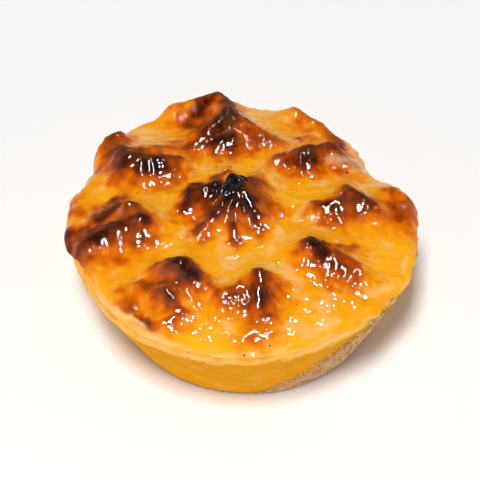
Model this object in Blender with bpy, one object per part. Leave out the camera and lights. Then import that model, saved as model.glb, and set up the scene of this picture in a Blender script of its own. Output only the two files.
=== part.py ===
"""A coconut queijada: a thin tapered pastry cup, filled above its rim with piped coconut paste.

Blender 4.5, metres, +Z up. The tart stands on its flat base, with the origin on the ground under
the middle of its bounding box and its front towards -Y. The sizes below are in millimetres, and
angles are in degrees, counted from +X towards +Y. Heights are counted from the cup's rim while the
shapes are worked out, and each finished mesh is then set down on the ground.
"""
from dataclasses import dataclass

import bmesh
import bpy
import numpy as np
from mathutils import Matrix, Vector

MM = 0.001

# The pastry cup
RIM_RADIUS = 37.5
BASE_RADIUS = 27.7
BASE_SHIFT = 0.8        # how far the base sits towards +X of the rim's middle
CUP_HEIGHT = 22.5
WALL = 1.5
FLOOR = 2.0
BASE_CHAMFER = 0.8
CUP_SEGMENTS = 96
RIM_STEPS = 4           # facets over the rounded lip

# The coconut filling
GAP = 0.3               # clearance between the filling and the cup
CROWN = 4.6             # height of the smooth dome in the middle
EDGE = 0.9              # height of the same dome at the rim
INSET = 1.3             # how much of the lip the filling leaves bare
ROLL = 2.6              # width of the rolled edge
FILLING_RINGS = 34
SIDES = 6               # the filling's grid grows from a six-sided fan
SIDE_ANGLE = 360 / SIDES

# How crests fall away
CREST_POWER = 2.3       # across a crest, from a pointed tent (1) to a round hill (2)
SKIRT_SHARE = 0.5       # how much of a crest's height is its broad foot
SKIRT_SPREAD = 1.9      # how much wider that foot is than the crest
FALL_POWER = 1.6        # along a crest, from a straight slope (1) to a level run (more)
MERGE = 5.0             # how sharply crests meet one another
ARC_STEPS = 6
REACH = 6.0             # crest widths past which a crest no longer counts

# The burnt tail of paste on the middle swirl leans over its foot
LEAN = (-1.0, -1.1)
LEAN_FOOT = (-1.0, 3.0)
LEAN_SPREAD = 6.0
LEAN_START = 8.0
LEAN_RISE = 4.5

# Finish
SHARP_ANGLE = np.radians(40)
PASTRY_COLOUR = (227, 162, 58)
PASTRY_ROUGHNESS = 0.6
PASTE_COLOUR = (244, 158, 28)
PASTE_ROUGHNESS = 0.25

TINY = 0.001            # distances below this are the same place


@dataclass(frozen=True)
class Swell:
    """A soft swelling or dent in something that runs round the rim."""

    azimuth: float
    size: float
    half_width: float


@dataclass(frozen=True)
class Ridge:
    """A crest that leaves its swirl's tip along an arc."""

    heading: float
    length: float
    turn: float
    end_rise: float


@dataclass(frozen=True)
class Swirl:
    """One piped star, slumped in the oven to a hump with a few crests."""

    azimuth: float
    out: float
    tip_rise: float
    hump_rise: float
    hump_radius: float
    crest_width: float
    ridges: tuple


@dataclass(frozen=True)
class Crest:
    """A crest that stands apart from the tips, such as a fold or a lip at the edge."""

    azimuth: float
    out: float
    heading: float
    length: float
    turn: float
    start_rise: float
    end_rise: float
    width: float


RIM_DENTS = (Swell(28, -4.3, 15), Swell(48, -1.3, 12), Swell(72, 0.5, 7), Swell(90, 0.4, 30),
             Swell(205, -0.5, 16), Swell(322, 0.5, 16), Swell(345, 0.5, 16))
RIM_DROPS = (Swell(32, -1.0, 20),)
OVERHANGS = (Swell(4, 1.5, 12), Swell(40, 1.5, 14), Swell(69, 1.1, 7), Swell(93, 2.7, 10),
             Swell(117, 4.2, 15), Swell(140, 3.9, 11), Swell(165, 2.6, 9), Swell(182, 2.8, 7),
             Swell(335, 1.0, 22))

MIDDLE = Swirl(98, 3.4, 2.9, 2.4, 7.5, 1.5, (
    Ridge(187, 13.0, 0, 1.0), Ridge(160, 11.0, 0, 1.8), Ridge(108, 9.5, 0, 1.2),
    Ridge(18, 4.6, 0, 3.4), Ridge(55, 9.0, 0, 1.4), Ridge(347, 9.6, -10, 0.5),
    Ridge(303, 10.6, 8, 0.5), Ridge(261, 11.0, 0, 0.6), Ridge(222, 13.4, 5, 0.6)))
BACK = Swirl(94, 27.5, 3.9, 2.0, 7.5, 2.4, (
    Ridge(214, 13.4, -6, 1.2), Ridge(326, 12.5, 6, 1.2), Ridge(106, 9.0, 0, 5.0)))
BACK_LEFT = Swirl(147, 29.1, 3.2, 2.2, 8.0, 2.6, (
    Ridge(122, 8.6, -14, 4.6), Ridge(348, 9.8, 22, 2.6)))
LEFT = Swirl(187, 21.1, 2.3, 2.0, 7.0, 2.5, (
    Ridge(174, 14.6, 38, 2.2), Ridge(131, 4.9, 0, 3.2), Ridge(338, 1.8, 0, 0.8)))
FRONT_LEFT = Swirl(231.5, 21.2, 2.9, 2.2, 4.6, 2.4, (
    Ridge(168, 6.4, 0, 1.4), Ridge(335, 4.6, -25, 1.2)))
FRONT = Swirl(278, 20.2, 2.8, 0.8, 6.0, 2.3, (
    Ridge(273, 8.4, 4, 1.1), Ridge(342, 5.8, 10, 0.8), Ridge(226, 14.4, -96, 1.2)))
FRONT_RIGHT = Swirl(319, 18.4, 2.5, 1.4, 5.5, 2.5, (
    Ridge(343, 14.4, -30, 1.4), Ridge(178, 2.0, 0, 1.6)))
RIGHT = Swirl(7, 23.1, 2.7, 1.4, 7.0, 2.4, (
    Ridge(218, 10.6, -40, 0.6), Ridge(345, 6.4, -30, 2.3)))
BACK_RIGHT = Swirl(46, 22.3, 2.8, 1.4, 7.0, 2.4, (
    Ridge(184, 6.2, 0, 1.2), Ridge(15, 5.2, -5, 3.6)))
SWIRLS = (MIDDLE, BACK, BACK_LEFT, LEFT, FRONT_LEFT, FRONT, FRONT_RIGHT, RIGHT, BACK_RIGHT)

TAIL = Crest(96, 5.6, 236, 4.4, 0, 5.3, 4.0, 1.9)
FOLDS = (Crest(219.6, 28.6, 318, 6.2, 0, 1.4, 2.9, 2.0), Crest(233.9, 27.3, 302, 4.6, 0, 2.9, 1.0, 2.0),
         Crest(40, 26.8, 328, 6.5, -15, 3.6, 1.8, 2.2), Crest(176, 27.5, 190, 6.0, 0, 1.6, 1.0, 2.2),
         Crest(138, 30.0, 10, 8.0, 0, 2.6, 1.2, 3.2), Crest(94, 27.0, 280, 4.5, 0, 2.0, 1.2, 2.4),
         Crest(118, 23.0, 7, 9.4, 0, 0.9, 2.0, 1.9), Crest(145, 7.0, 176, 5.4, 0, 4.3, 3.6, 2.0))
EDGE_LIPS = (Crest(228.3, 35.0, 318, 8.7, 70, 1.3, 1.0, 1.4), Crest(216, 31.5, 285, 5.0, 0, 0.6, 0.6, 2.2),
             Crest(97, 36.5, 182, 10.5, 10, 4.9, 3.6, 2.6), Crest(118, 38.5, 215, 8.0, 0, 1.4, 1.2, 3.0),
             Crest(137, 37.2, 200, 5.0, 20, 5.0, 3.4, 2.6), Crest(160, 38.0, 258, 6.5, 10, 1.0, 1.2, 3.0),
             Crest(178, 38.4, 262, 4.5, 10, 1.6, 1.0, 2.4), Crest(9, 33.5, 330, 7.5, -35, 3.0, 2.4, 3.2),
             Crest(68, 36.0, 322, 9.0, 0, 2.4, 1.4, 2.8), Crest(270, 31.5, 0, 4.0, 0, 0.8, 0.8, 2.0))


def sum_of_swells(azimuth, swells):
    """Adds up bell-shaped swells at each azimuth."""
    total = np.zeros_like(azimuth)
    for swell in swells:
        turn = (azimuth - swell.azimuth + 180) % 360 - 180
        total += swell.size * np.exp(-(turn / swell.half_width) ** 2)
    return total


def place(azimuth, out):
    """The point at this azimuth and distance from the rim's middle, seen from above."""
    angle = np.radians(azimuth)
    return out * np.array([np.cos(angle), np.sin(angle)])


def arc(start, heading, length, turn):
    """Points along an arc that turns steadily to the left of its first heading."""
    way = np.radians(heading + turn * (np.arange(ARC_STEPS) + 0.5) / ARC_STEPS)
    steps = length / ARC_STEPS * np.stack([np.cos(way), np.sin(way)], axis=-1)
    return np.concatenate([[start], start + np.cumsum(steps, axis=0)])


def nearest_on(path, x, y):
    """Each point's distance from the path, and how far along the path it is, from 0 to 1."""
    distance = np.full(x.shape, np.inf)
    along = np.zeros(x.shape)
    for index, (start, end) in enumerate(zip(path[:-1], path[1:])):
        step = end - start
        part = ((x - start[0]) * step[0] + (y - start[1]) * step[1]) / (step @ step)
        part = np.clip(part, 0, 1)
        this = np.hypot(x - start[0] - part * step[0], y - start[1] - part * step[1])
        closer = this < distance
        distance = np.where(closer, this, distance)
        along = np.where(closer, (index + part) / ARC_STEPS, along)
    return distance, along


def crest_paths():
    """Every crest as its path, its rise at both ends and its width."""
    for swirl in SWIRLS:
        tip = place(swirl.azimuth, swirl.out)
        for ridge in swirl.ridges:
            path = arc(tip, ridge.heading, ridge.length, ridge.turn)
            yield path, swirl.tip_rise, ridge.end_rise, swirl.crest_width
    for crest in (TAIL,) + FOLDS + EDGE_LIPS:
        path = arc(place(crest.azimuth, crest.out), crest.heading, crest.length, crest.turn)
        yield path, crest.start_rise, crest.end_rise, crest.width


def crest_height(x, y):
    """The crests' height over the dome, each a narrow bell on a broad one, with soft joins."""
    total = np.zeros(x.shape)
    for path, start_rise, end_rise, width in crest_paths():
        low = path.min(axis=0) - REACH * width
        high = path.max(axis=0) + REACH * width
        near = (x > low[0]) & (x < high[0]) & (y > low[1]) & (y < high[1])
        distance, along = nearest_on(path, x[near], y[near])
        rise = start_rise + (end_rise - start_rise) * along ** FALL_POWER
        bell = np.exp(-(distance / width) ** CREST_POWER)
        skirt = np.exp(-(distance / (SKIRT_SPREAD * width)) ** 2)
        total[near] += (rise * ((1 - SKIRT_SHARE) * bell + SKIRT_SHARE * skirt)) ** MERGE
    return total ** (1 / MERGE)


def hump_height(x, y):
    """The broad humps under the crests."""
    total = np.zeros(x.shape)
    for swirl in SWIRLS:
        tip = place(swirl.azimuth, swirl.out)
        apart = np.hypot(x - tip[0], y - tip[1])
        total += swirl.hump_rise * np.exp(-(apart / swirl.hump_radius) ** 2)
    return total


def rim_radius(azimuth):
    """The cup's outer radius at its rim."""
    return RIM_RADIUS + sum_of_swells(azimuth, RIM_DENTS)


def rim_height(azimuth):
    """The height of the lip, which sags where the cup was dented."""
    return sum_of_swells(azimuth, RIM_DROPS)


def filling_radius(azimuth):
    """The filling's outline over the lip, and past it where a swirl ran over."""
    return rim_radius(azimuth) - INSET + sum_of_swells(azimuth, OVERHANGS)


def filling_top(x, y):
    """The height of the filling: a dome, humps and crests, rolled down onto the lip at the edge."""
    azimuth = np.degrees(np.arctan2(y, x))
    out = np.hypot(x, y)
    dome_part = np.minimum(out / rim_radius(azimuth), 1)
    dome = EDGE + (CROWN - EDGE) * (1 - dome_part ** 3) + rim_height(azimuth) * dome_part ** 3
    lip = rim_height(azimuth) + GAP
    into_roll = np.clip((out - filling_radius(azimuth)) / ROLL + 1, 0, 1)
    roll = 1 - into_roll ** 2
    return lip + (dome + hump_height(x, y) + crest_height(x, y) - lip) * roll


def leaned(points):
    """Pushes the burnt tail over, more the higher it stands."""
    x, y, z = points.T
    lift = np.clip((z - LEAN_START) / LEAN_RISE, 0, 1) ** 2
    apart = np.hypot(x - LEAN_FOOT[0], y - LEAN_FOOT[1])
    push = lift * np.exp(-(apart / LEAN_SPREAD) ** 2)
    return np.stack([x + LEAN[0] * push, y + LEAN[1] * push, z], axis=-1)


def plan_middle():
    """The middle of the tart's outline, seen from above."""
    azimuth = np.arange(0, 360, 0.5)
    out = np.maximum(rim_radius(azimuth), filling_radius(azimuth))
    x, y = out * place(azimuth, 1.0)
    return np.array([x.min() + x.max(), y.min() + y.max()]) / 2


def read_points(vertices):
    """The positions of some vertices as an array."""
    return np.array([vertex.co for vertex in vertices])


def write_points(vertices, points):
    """Moves some vertices to these positions."""
    for vertex, point in zip(vertices, points):
        vertex.co = point


def cup_profile():
    """The cup's section, from the middle of its underside round the lip to the middle of its floor."""
    slope = (RIM_RADIUS - BASE_RADIUS) / CUP_HEIGHT
    bottom = -CUP_HEIGHT
    lip_radius = WALL / 2
    profile = [(0, bottom), (BASE_RADIUS - BASE_CHAMFER, bottom)]
    profile.append((BASE_RADIUS + slope * BASE_CHAMFER, bottom + BASE_CHAMFER))
    profile.append((RIM_RADIUS - slope * CUP_HEIGHT / 2, bottom / 2))
    for step in range(RIM_STEPS + 1):
        angle = np.pi * step / RIM_STEPS
        out = RIM_RADIUS - slope * lip_radius - lip_radius + lip_radius * np.cos(angle)
        profile.append((out, lip_radius * (np.sin(angle) - 1)))
    profile.append((BASE_RADIUS + slope * FLOOR - WALL, bottom + FLOOR))
    profile.append((0, bottom + FLOOR))
    return profile


def shape_cup(points):
    """Gives the turned cup its dented outline, its sagging lip and its slightly shifted base."""
    x, y, z = points.T
    azimuth = np.degrees(np.arctan2(y, x))
    out = np.hypot(x, y)
    up = 1 + z / CUP_HEIGHT
    outward = out / (BASE_RADIUS + (RIM_RADIUS - BASE_RADIUS) * up)
    out = out + (rim_radius(azimuth) - RIM_RADIUS) * up * outward
    moved = out * place(azimuth, 1.0)
    z = z + rim_height(azimuth) * up * outward
    return np.stack([moved[0] + BASE_SHIFT * (1 - up), moved[1], z], axis=-1)


def make_cup():
    """Turns the cup's section and shapes it."""
    mesh = bmesh.new()
    corners = [mesh.verts.new((out, 0, height)) for out, height in cup_profile()]
    edges = [mesh.edges.new(pair) for pair in zip(corners[:-1], corners[1:])]
    bmesh.ops.spin(mesh, geom=corners + edges, cent=(0, 0, 0), axis=(0, 0, 1), angle=2 * np.pi,
                   steps=CUP_SEGMENTS, use_merge=True, use_duplicate=False)
    bmesh.ops.remove_doubles(mesh, verts=mesh.verts, dist=TINY)
    write_points(mesh.verts, shape_cup(read_points(mesh.verts)))
    return mesh


def rings_of_fan(points):
    """Reads a six-sided fan of radius 1 as rings: each point's ring, from 0 to 1, and its azimuth."""
    x, y = points[:, 0], points[:, 1]
    corner = np.floor(np.degrees(np.arctan2(y, x)) / SIDE_ANGLE) * SIDE_ANGLE
    first = place(corner, 1.0)
    second = place(corner + SIDE_ANGLE, 1.0)
    area = first[0] * second[1] - first[1] * second[0]
    to_first = (x * second[1] - y * second[0]) / area
    to_second = (y * first[0] - x * first[1]) / area
    ring = to_first + to_second
    return ring, corner + SIDE_ANGLE * to_second / np.maximum(ring, TINY)


def plug_profile():
    """The section of the filling's part inside the cup, from the lip down to its flat bottom."""
    slope = (RIM_RADIUS - BASE_RADIUS) / CUP_HEIGHT
    bottom = FLOOR + GAP
    return ((RIM_RADIUS - WALL - GAP, GAP), (BASE_RADIUS + slope * bottom - WALL - GAP, bottom - CUP_HEIGHT))


def grow_edge(mesh):
    """Extrudes the open edge of a mesh in place and returns the new vertices."""
    edges = [edge for edge in mesh.edges if edge.is_boundary]
    grown = bmesh.ops.extrude_edge_only(mesh, edges=edges)["geom"]
    return [item for item in grown if isinstance(item, bmesh.types.BMVert)]


def make_filling():
    """Lays the filling's top over a triangle grid, then closes it down into the cup."""
    mesh = bmesh.new()
    bmesh.ops.create_circle(mesh, cap_ends=True, cap_tris=True, segments=SIDES, radius=1.0,
                            matrix=Matrix.Rotation(np.radians(SIDE_ANGLE / 2), 4, "Z"))
    bmesh.ops.subdivide_edges(mesh, edges=mesh.edges[:], cuts=FILLING_RINGS - 1, use_grid_fill=True)
    ring, azimuth = rings_of_fan(read_points(mesh.verts))
    x, y = ring * filling_radius(azimuth) * place(azimuth, 1.0)
    write_points(mesh.verts, leaned(np.stack([x, y, filling_top(x, y)], axis=-1)))
    for out, height in plug_profile():
        corners = grow_edge(mesh)
        points = read_points(corners)
        azimuth = np.degrees(np.arctan2(points[:, 1], points[:, 0]))
        x, y = out * place(azimuth, 1.0)
        write_points(corners, shape_cup(np.stack([x, y, np.full_like(x, height)], axis=-1)))
    corners = grow_edge(mesh)
    bmesh.ops.pointmerge(mesh, verts=corners, merge_co=Vector(read_points(corners).mean(axis=0)))
    return mesh


def linear_colour(red, green, blue):
    """An sRGB colour, 0 to 255, as the linear colour that a shader takes."""
    share = np.array([red, green, blue]) / 255
    linear = np.where(share <= 0.04045, share / 12.92, ((share + 0.055) / 1.055) ** 2.4)
    return (*linear.tolist(), 1.0)


def make_material(name, colour, roughness):
    """A plain Principled BSDF for one piece."""
    material = bpy.data.materials.new(name)
    material.use_nodes = True
    shader = material.node_tree.nodes["Principled BSDF"]
    shader.inputs["Base Color"].default_value = linear_colour(*colour)
    shader.inputs["Roughness"].default_value = roughness
    shader.inputs["Metallic"].default_value = 0.0
    return material


def set_down(mesh):
    """Moves a mesh from the rim's frame to the ground under the tart's middle, in metres."""
    middle = plan_middle()
    to_ground = np.array([-middle[0], -middle[1], CUP_HEIGHT])
    write_points(mesh.verts, (read_points(mesh.verts) + to_ground) * MM)


def add_piece(name, mesh, material):
    """Makes a mesh a named object with its faces outwards and its round parts smooth."""
    set_down(mesh)
    bmesh.ops.recalc_face_normals(mesh, faces=mesh.faces)
    data = bpy.data.meshes.new(name)
    mesh.to_mesh(data)
    mesh.free()
    data.materials.append(material)
    data.shade_smooth()
    data.set_sharp_from_angle(angle=SHARP_ANGLE)
    bpy.context.scene.collection.objects.link(bpy.data.objects.new(name, data))


def main():
    """Clears the scene, then makes the cup and the filling."""
    for old in list(bpy.data.objects):
        bpy.data.objects.remove(old)
    pastry = make_material("baked_pastry", PASTRY_COLOUR, PASTRY_ROUGHNESS)
    paste = make_material("browned_coconut_paste", PASTE_COLOUR, PASTE_ROUGHNESS)
    add_piece("pastry_case", make_cup(), pastry)
    add_piece("coconut_filling", make_filling(), paste)


if __name__ == "__main__":
    main()
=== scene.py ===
"""The looks of a coconut queijada: a small tart of piped coconut paste, glazed and browned in the oven.

The tart stands on its base, with its front towards -Y. Sizes are in millimetres and angles in degrees,
with azimuths counted from +X towards +Y. Shapes are worked out round the middle of the cup's rim, with
heights counted from the rim, and each mesh goes to the frame's metres as it is written.
"""
import itertools
import logging
import math
from collections.abc import Iterator
from dataclasses import dataclass, field
from enum import Enum
from functools import cached_property
from typing import Any

import bmesh
import bpy
import numpy as np
from mathutils import Matrix, Vector


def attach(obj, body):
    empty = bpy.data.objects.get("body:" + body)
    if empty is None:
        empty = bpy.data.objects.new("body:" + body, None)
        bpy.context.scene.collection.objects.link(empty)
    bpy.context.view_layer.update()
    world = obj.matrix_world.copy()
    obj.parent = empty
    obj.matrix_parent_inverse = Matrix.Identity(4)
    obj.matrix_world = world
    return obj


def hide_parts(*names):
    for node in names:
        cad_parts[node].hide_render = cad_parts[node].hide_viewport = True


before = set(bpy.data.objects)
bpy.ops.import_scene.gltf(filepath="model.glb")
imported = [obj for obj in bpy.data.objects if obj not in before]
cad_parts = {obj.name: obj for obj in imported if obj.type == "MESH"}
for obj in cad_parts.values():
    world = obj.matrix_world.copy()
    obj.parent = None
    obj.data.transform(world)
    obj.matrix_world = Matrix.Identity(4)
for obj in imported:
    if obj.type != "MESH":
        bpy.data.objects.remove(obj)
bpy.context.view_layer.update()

LOG = logging.getLogger("queijada")
MM = 0.001
TINY = 1e-6
BODY = "root"
NOISE_GAIN = 1.6
PEBBLE_ROUGHNESS = (0.75, 1.1)
Array = np.ndarray
Colour = tuple[float, float, float, float]


class Tone(Enum):
    """The colours of the tart, as sRGB hex."""

    YOLK = "#FCAC18"
    AMBER = "#F49A06"
    ORANGE = "#DA6802"
    RUST = "#A84604"
    CHESTNUT = "#702806"
    TREACLE = "#3E1506"
    CHAR = "#1B0B07"
    SOOT = "#080708"
    # Grey-brown of dried fibres, and also painted sheen on browned slopes that face the back.
    DRIED_AND_SHEEN = "#5A3A22"
    CREAM = "#F6BE72"
    DOUGH = "#E29A1C"
    DOUGH_PALE = "#EEB45E"
    DOUGH_DEEP = "#D88E12"
    BASE_LINE_DARK = "#7A4210"
    TOASTED = "#A8742C"
    FLOUR = "#DEBA92"
    TABLE = "#FEFDFC"


class Slot(Enum):
    """The record's material slots."""

    PASTRY = "baked_pastry"
    PASTE = "browned_coconut_paste"


def linear(tone: Tone) -> Colour:
    """Turns one of the tart's sRGB colours to linear light.

    Args:
        tone: the colour.

    Returns:
        Red, green, blue and alpha, from 0 to 1.
    """
    share = np.array([int(tone.value[at:at + 2], 16) for at in (1, 3, 5)]) / 255
    light = np.where(share <= 0.04045, share / 12.92, ((share + 0.055) / 1.055) ** 2.4)
    return (*light.tolist(), 1.0)


def feed(node: bpy.types.Node, inputs: dict[int | str, Any]) -> None:
    """Gives a node's sockets their values and links.

    Args:
        node: the node.
        inputs: what each socket takes, by name or number: a value, another node's output, or another
            node, which stands for its first live output.
    """
    for key, value in inputs.items():
        if isinstance(value, bpy.types.Node):
            value = next(socket for socket in value.outputs if socket.enabled)
        if isinstance(value, bpy.types.NodeSocket):
            node.id_data.links.new(value, node.inputs[key])
        else:
            node.inputs[key].default_value = value


def add_node(tree: bpy.types.NodeTree, kind: str, inputs: dict[int | str, Any] | None = None,
             stops: tuple = (), **settings: Any) -> bpy.types.Node:
    """Adds one shader node with its settings, its values and its links.

    Args:
        tree: the material's or the world's nodes.
        kind: the node's type after "ShaderNode".
        inputs: what each socket takes, as feed reads it.
        stops: a colour ramp's stops, each a place and a tone.
        **settings: the node's own options.

    Returns:
        The new node.
    """
    node = tree.nodes.new("ShaderNode" + kind)
    for name, value in settings.items():
        setattr(node, name, value)
    feed(node, inputs or {})
    for index, (place_on_ramp, tone) in enumerate(stops):
        elements = node.color_ramp.elements
        stop = elements[index] if index < len(elements) else elements.new(place_on_ramp)
        stop.position = place_on_ramp
        stop.color = linear(tone)
    return node


def new_material(name: str, fixed: dict[str, Any]) -> bpy.types.Material:
    """Makes a material, with fixed values straight on its shader's sockets."""
    material = bpy.data.materials.new(name)
    material.use_nodes = True
    feed(material.node_tree.nodes["Principled BSDF"], fixed)
    return material


def each(kind: type, rows: tuple[tuple[float, ...], ...]) -> tuple:
    """Makes one record of a kind from each row of numbers, in the order of the kind's fields."""
    return tuple(kind(*row) for row in rows)


def turning(azimuth: Array | float) -> Array:
    """The unit vector at an azimuth, seen from above, along a new last axis."""
    angle = np.radians(azimuth)
    return np.stack([np.cos(angle), np.sin(angle)], axis=-1)


def smooth_step(value: Array, low: float, high: float) -> Array:
    """Rises from 0 at low to 1 at high along the cubic 3t² - 2t³."""
    t = np.clip((value - low) / (high - low), 0, 1)
    return t * t * (3 - 2 * t)


@dataclass(frozen=True)
class Noise:
    """Gradient noise in space: each lattice corner holds a random slope, and slopes blend smoothly between.

    The value at a point is the sum over its cell's eight corners of the corner's random direction
    dotted with the way from the corner, weighted by 6t⁵ - 15t⁴ + 10t³ along each axis.
    """

    seed: int
    size: float
    octaves: int = 1
    table: int = 256

    def at(self, points: Array, shift: float = 0.0) -> Array:
        """Reads the noise.

        Args:
            points: places in millimetres, with x, y and z on the last axis.
            shift: how far off to read it, which gives a second pattern of the same kind.

        Returns:
            Values around 0, mostly within -1 and 1.
        """
        total = np.zeros(points.shape[:-1])
        for octave in range(self.octaves):
            lattice = (points + shift) * 2 ** octave / self.size
            total += self._layer(lattice, self.seed + octave) / 2 ** octave
        return total

    def _layer(self, lattice: Array, seed: int) -> Array:
        """One octave of the noise, at places counted in lattice cells."""
        random = np.random.default_rng(seed)
        slopes = random.normal(size=(self.table, 3))
        slopes /= np.linalg.norm(slopes, axis=1, keepdims=True)
        order = random.permutation(self.table)
        cell = np.floor(lattice).astype(int)
        part = lattice - cell
        ease = part ** 3 * (part * (part * 6 - 15) + 10)
        total = np.zeros(lattice.shape[:-1])
        for corner in itertools.product((0, 1), repeat=3):
            across, back, up = np.moveaxis((cell + corner) % self.table, -1, 0)
            pick = order[(order[across] + back) % self.table]
            slope = slopes[order[(pick + up) % self.table]]
            weight = np.prod(np.where(np.array(corner) == 1, ease, 1 - ease), axis=-1)
            total += weight * np.sum(slope * (part - corner), axis=-1)
        return NOISE_GAIN * total


@dataclass(frozen=True)
class Swell:
    """A soft swelling or dent in something that runs round the rim."""

    azimuth: float
    size: float
    half_width: float


def sum_of_swells(azimuth: Array, swells: tuple[Swell, ...]) -> Array:
    """Adds up bell curves, size times exp(-(turn / half width)²), at each azimuth.

    Args:
        azimuth: where to read the sum.
        swells: the bell curves.

    Returns:
        The sum at each azimuth.
    """
    total = np.zeros_like(azimuth, dtype=float)
    for swell in swells:
        turn = (azimuth - swell.azimuth + 180) % 360 - 180
        total += swell.size * np.exp(-(turn / swell.half_width) ** 2)
    return total


@dataclass(frozen=True)
class CupShape:
    """The sizes of the pastry cup, and the outline that it was dented to."""

    rim_radius: float = 37.5
    base_radius: float = 27.7
    base_shift: float = 0.8
    height: float = 22.5
    wall: float = 1.5
    floor: float = 2.0
    chamfer: float = 0.8
    dents: tuple[Swell, ...] = (
        Swell(28, -4.3, 15), Swell(48, -1.3, 12), Swell(72, 0.5, 7), Swell(90, 0.4, 30),
        Swell(205, -0.5, 16), Swell(322, 0.5, 16), Swell(345, 0.5, 16))
    drops: tuple[Swell, ...] = (Swell(32, -1.0, 20),)

    def radius_at(self, azimuth: Array) -> Array:
        """The outer radius of the rim."""
        return self.rim_radius + sum_of_swells(azimuth, self.dents)

    def lip_at(self, azimuth: Array) -> Array:
        """The height of the lip, which sags where the cup was dented."""
        return sum_of_swells(azimuth, self.drops)

    def shaped(self, points: Array) -> Array:
        """Gives a turned cup its dents, its sagging lip and its slightly shifted base.

        Args:
            points: places on the true round cup.

        Returns:
            The same places on the dented one. A place moves out by the dent times how far up and how
            far out it lies, and towards +X by the base's shift times how far down it lies.
        """
        x, y, z = np.moveaxis(points, -1, 0)
        azimuth = np.degrees(np.arctan2(y, x))
        out = np.hypot(x, y)
        up = 1 + z / self.height
        outward = out / (self.base_radius + (self.rim_radius - self.base_radius) * up)
        out = out + (self.radius_at(azimuth) - self.rim_radius) * up * outward
        plan = out[..., None] * turning(azimuth)
        z = z + self.lip_at(azimuth) * up * outward
        return np.stack([plan[..., 0] + self.base_shift * (1 - up), plan[..., 1], z], axis=-1)


@dataclass(frozen=True)
class Ridge:
    """A crest that leaves its swirl's tip along an arc, and how brown it is at both ends."""

    heading: float
    length: float
    turn: float
    end_rise: float
    tip_brown: float
    end_brown: float


@dataclass(frozen=True)
class Swirl:
    """One piped star, slumped in the oven to a hump with a few crests."""

    azimuth: float
    out: float
    tip_rise: float
    hump_rise: float
    hump_radius: float
    crest_width: float
    ridges: tuple[Ridge, ...]


@dataclass(frozen=True)
class Crest:
    """A crest that stands apart from the tips, such as a fold or a lip at the edge."""

    azimuth: float
    out: float
    heading: float
    length: float
    turn: float
    start_rise: float
    end_rise: float
    width: float
    start_brown: float
    end_brown: float


@dataclass(frozen=True)
class Scorch:
    """A patch that the oven browned, or in one place painted shade, from one place on the top to another.
    """

    azimuth: float
    out: float
    far_azimuth: float
    far_out: float
    width: float
    start_brown: float
    end_brown: float


@dataclass(frozen=True)
class Stroke:
    """A crest or a patch as the fields read it: the points of its path, its rises, width and browning."""

    path: Array
    rises: tuple[float, float]
    width: float
    browns: tuple[float, float]


# A swirl's own numbers come first: azimuth, out, tip rise, hump rise, hump radius and crest width.
# Each row is a crest: heading, length, turn, end rise, tip brown and end brown.
MIDDLE = Swirl(98, 3.4, 2.9, 2.4, 7.5, 1.5, each(Ridge, (
    (187, 13, 0, 1, 0.9, 0.6), (160, 11, 0, 1.8, 0.9, 0.75), (108, 9.5, 0, 1.2, 0.8, 0.3),
    (18, 4.6, 0, 3.4, 1, 0.7), (55, 9, 0, 1.4, 0.6, 0.2), (347, 9.6, -10, 0.5, 0.7, 0.35),
    (303, 10.6, 8, 0.5, 0.85, 0.25), (261, 11, 0, 0.6, 0.7, 0.6), (222, 13.4, 5, 0.6, 0.65, 0.6))))
BACK = Swirl(94, 27.5, 3.9, 2, 7.5, 2.4, each(Ridge, (
    (214, 13.4, -6, 1.2, 0.85, 0.35), (326, 12.5, 6, 1.2, 0.9, 0.55), (106, 9, 0, 5, 0.8, 0.5))))
BACK_LEFT = Swirl(147, 29.1, 3.2, 2.2, 8, 2.6, each(Ridge, (
    (122, 8.6, -14, 4.6, 0.9, 0.6), (348, 9.8, 22, 2.6, 0.95, 0.9))))
LEFT = Swirl(187, 21.1, 2.3, 2, 7, 2.5, each(Ridge, (
    (174, 14.6, 38, 2.2, 0.88, 0.95), (131, 4.9, 0, 3.2, 0.8, 0.8), (338, 1.8, 0, 0.8, 0.7, 0.3))))
FRONT_LEFT = Swirl(231.5, 21.2, 2.9, 2.2, 4.6, 2.4, each(Ridge, (
    (168, 6.4, 0, 1.4, 1, 0.55), (335, 4.6, -25, 1.2, 0.9, 0.6))))
FRONT = Swirl(278, 20.2, 2.8, 0.8, 6, 2.3, each(Ridge, (
    (273, 8.4, 4, 1.1, 0.66, 0.5), (342, 5.8, 10, 0.8, 0.6, 0.45), (226, 14.4, -96, 1.2, 0.6, 0.5))))
FRONT_RIGHT = Swirl(319, 18.4, 2.5, 1.4, 5.5, 2.5, each(Ridge, (
    (343, 14.4, -30, 1.4, 1.05, 0.36), (178, 2, 0, 1.6, 0.85, 0.3))))
RIGHT = Swirl(7, 23.1, 2.7, 1.4, 7, 2.4, each(Ridge, (
    (218, 10.6, -40, 0.6, 0.75, 0.3), (345, 6.4, -30, 2.3, 0.8, 0.65))))
BACK_RIGHT = Swirl(46, 22.3, 2.8, 1.4, 7, 2.4, each(Ridge, (
    (184, 6.2, 0, 1.2, 0.8, 0.75), (15, 5.2, -5, 3.6, 0.75, 0.75))))
SWIRLS = (MIDDLE, BACK, BACK_LEFT, LEFT, FRONT_LEFT, FRONT, FRONT_RIGHT, RIGHT, BACK_RIGHT)

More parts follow.
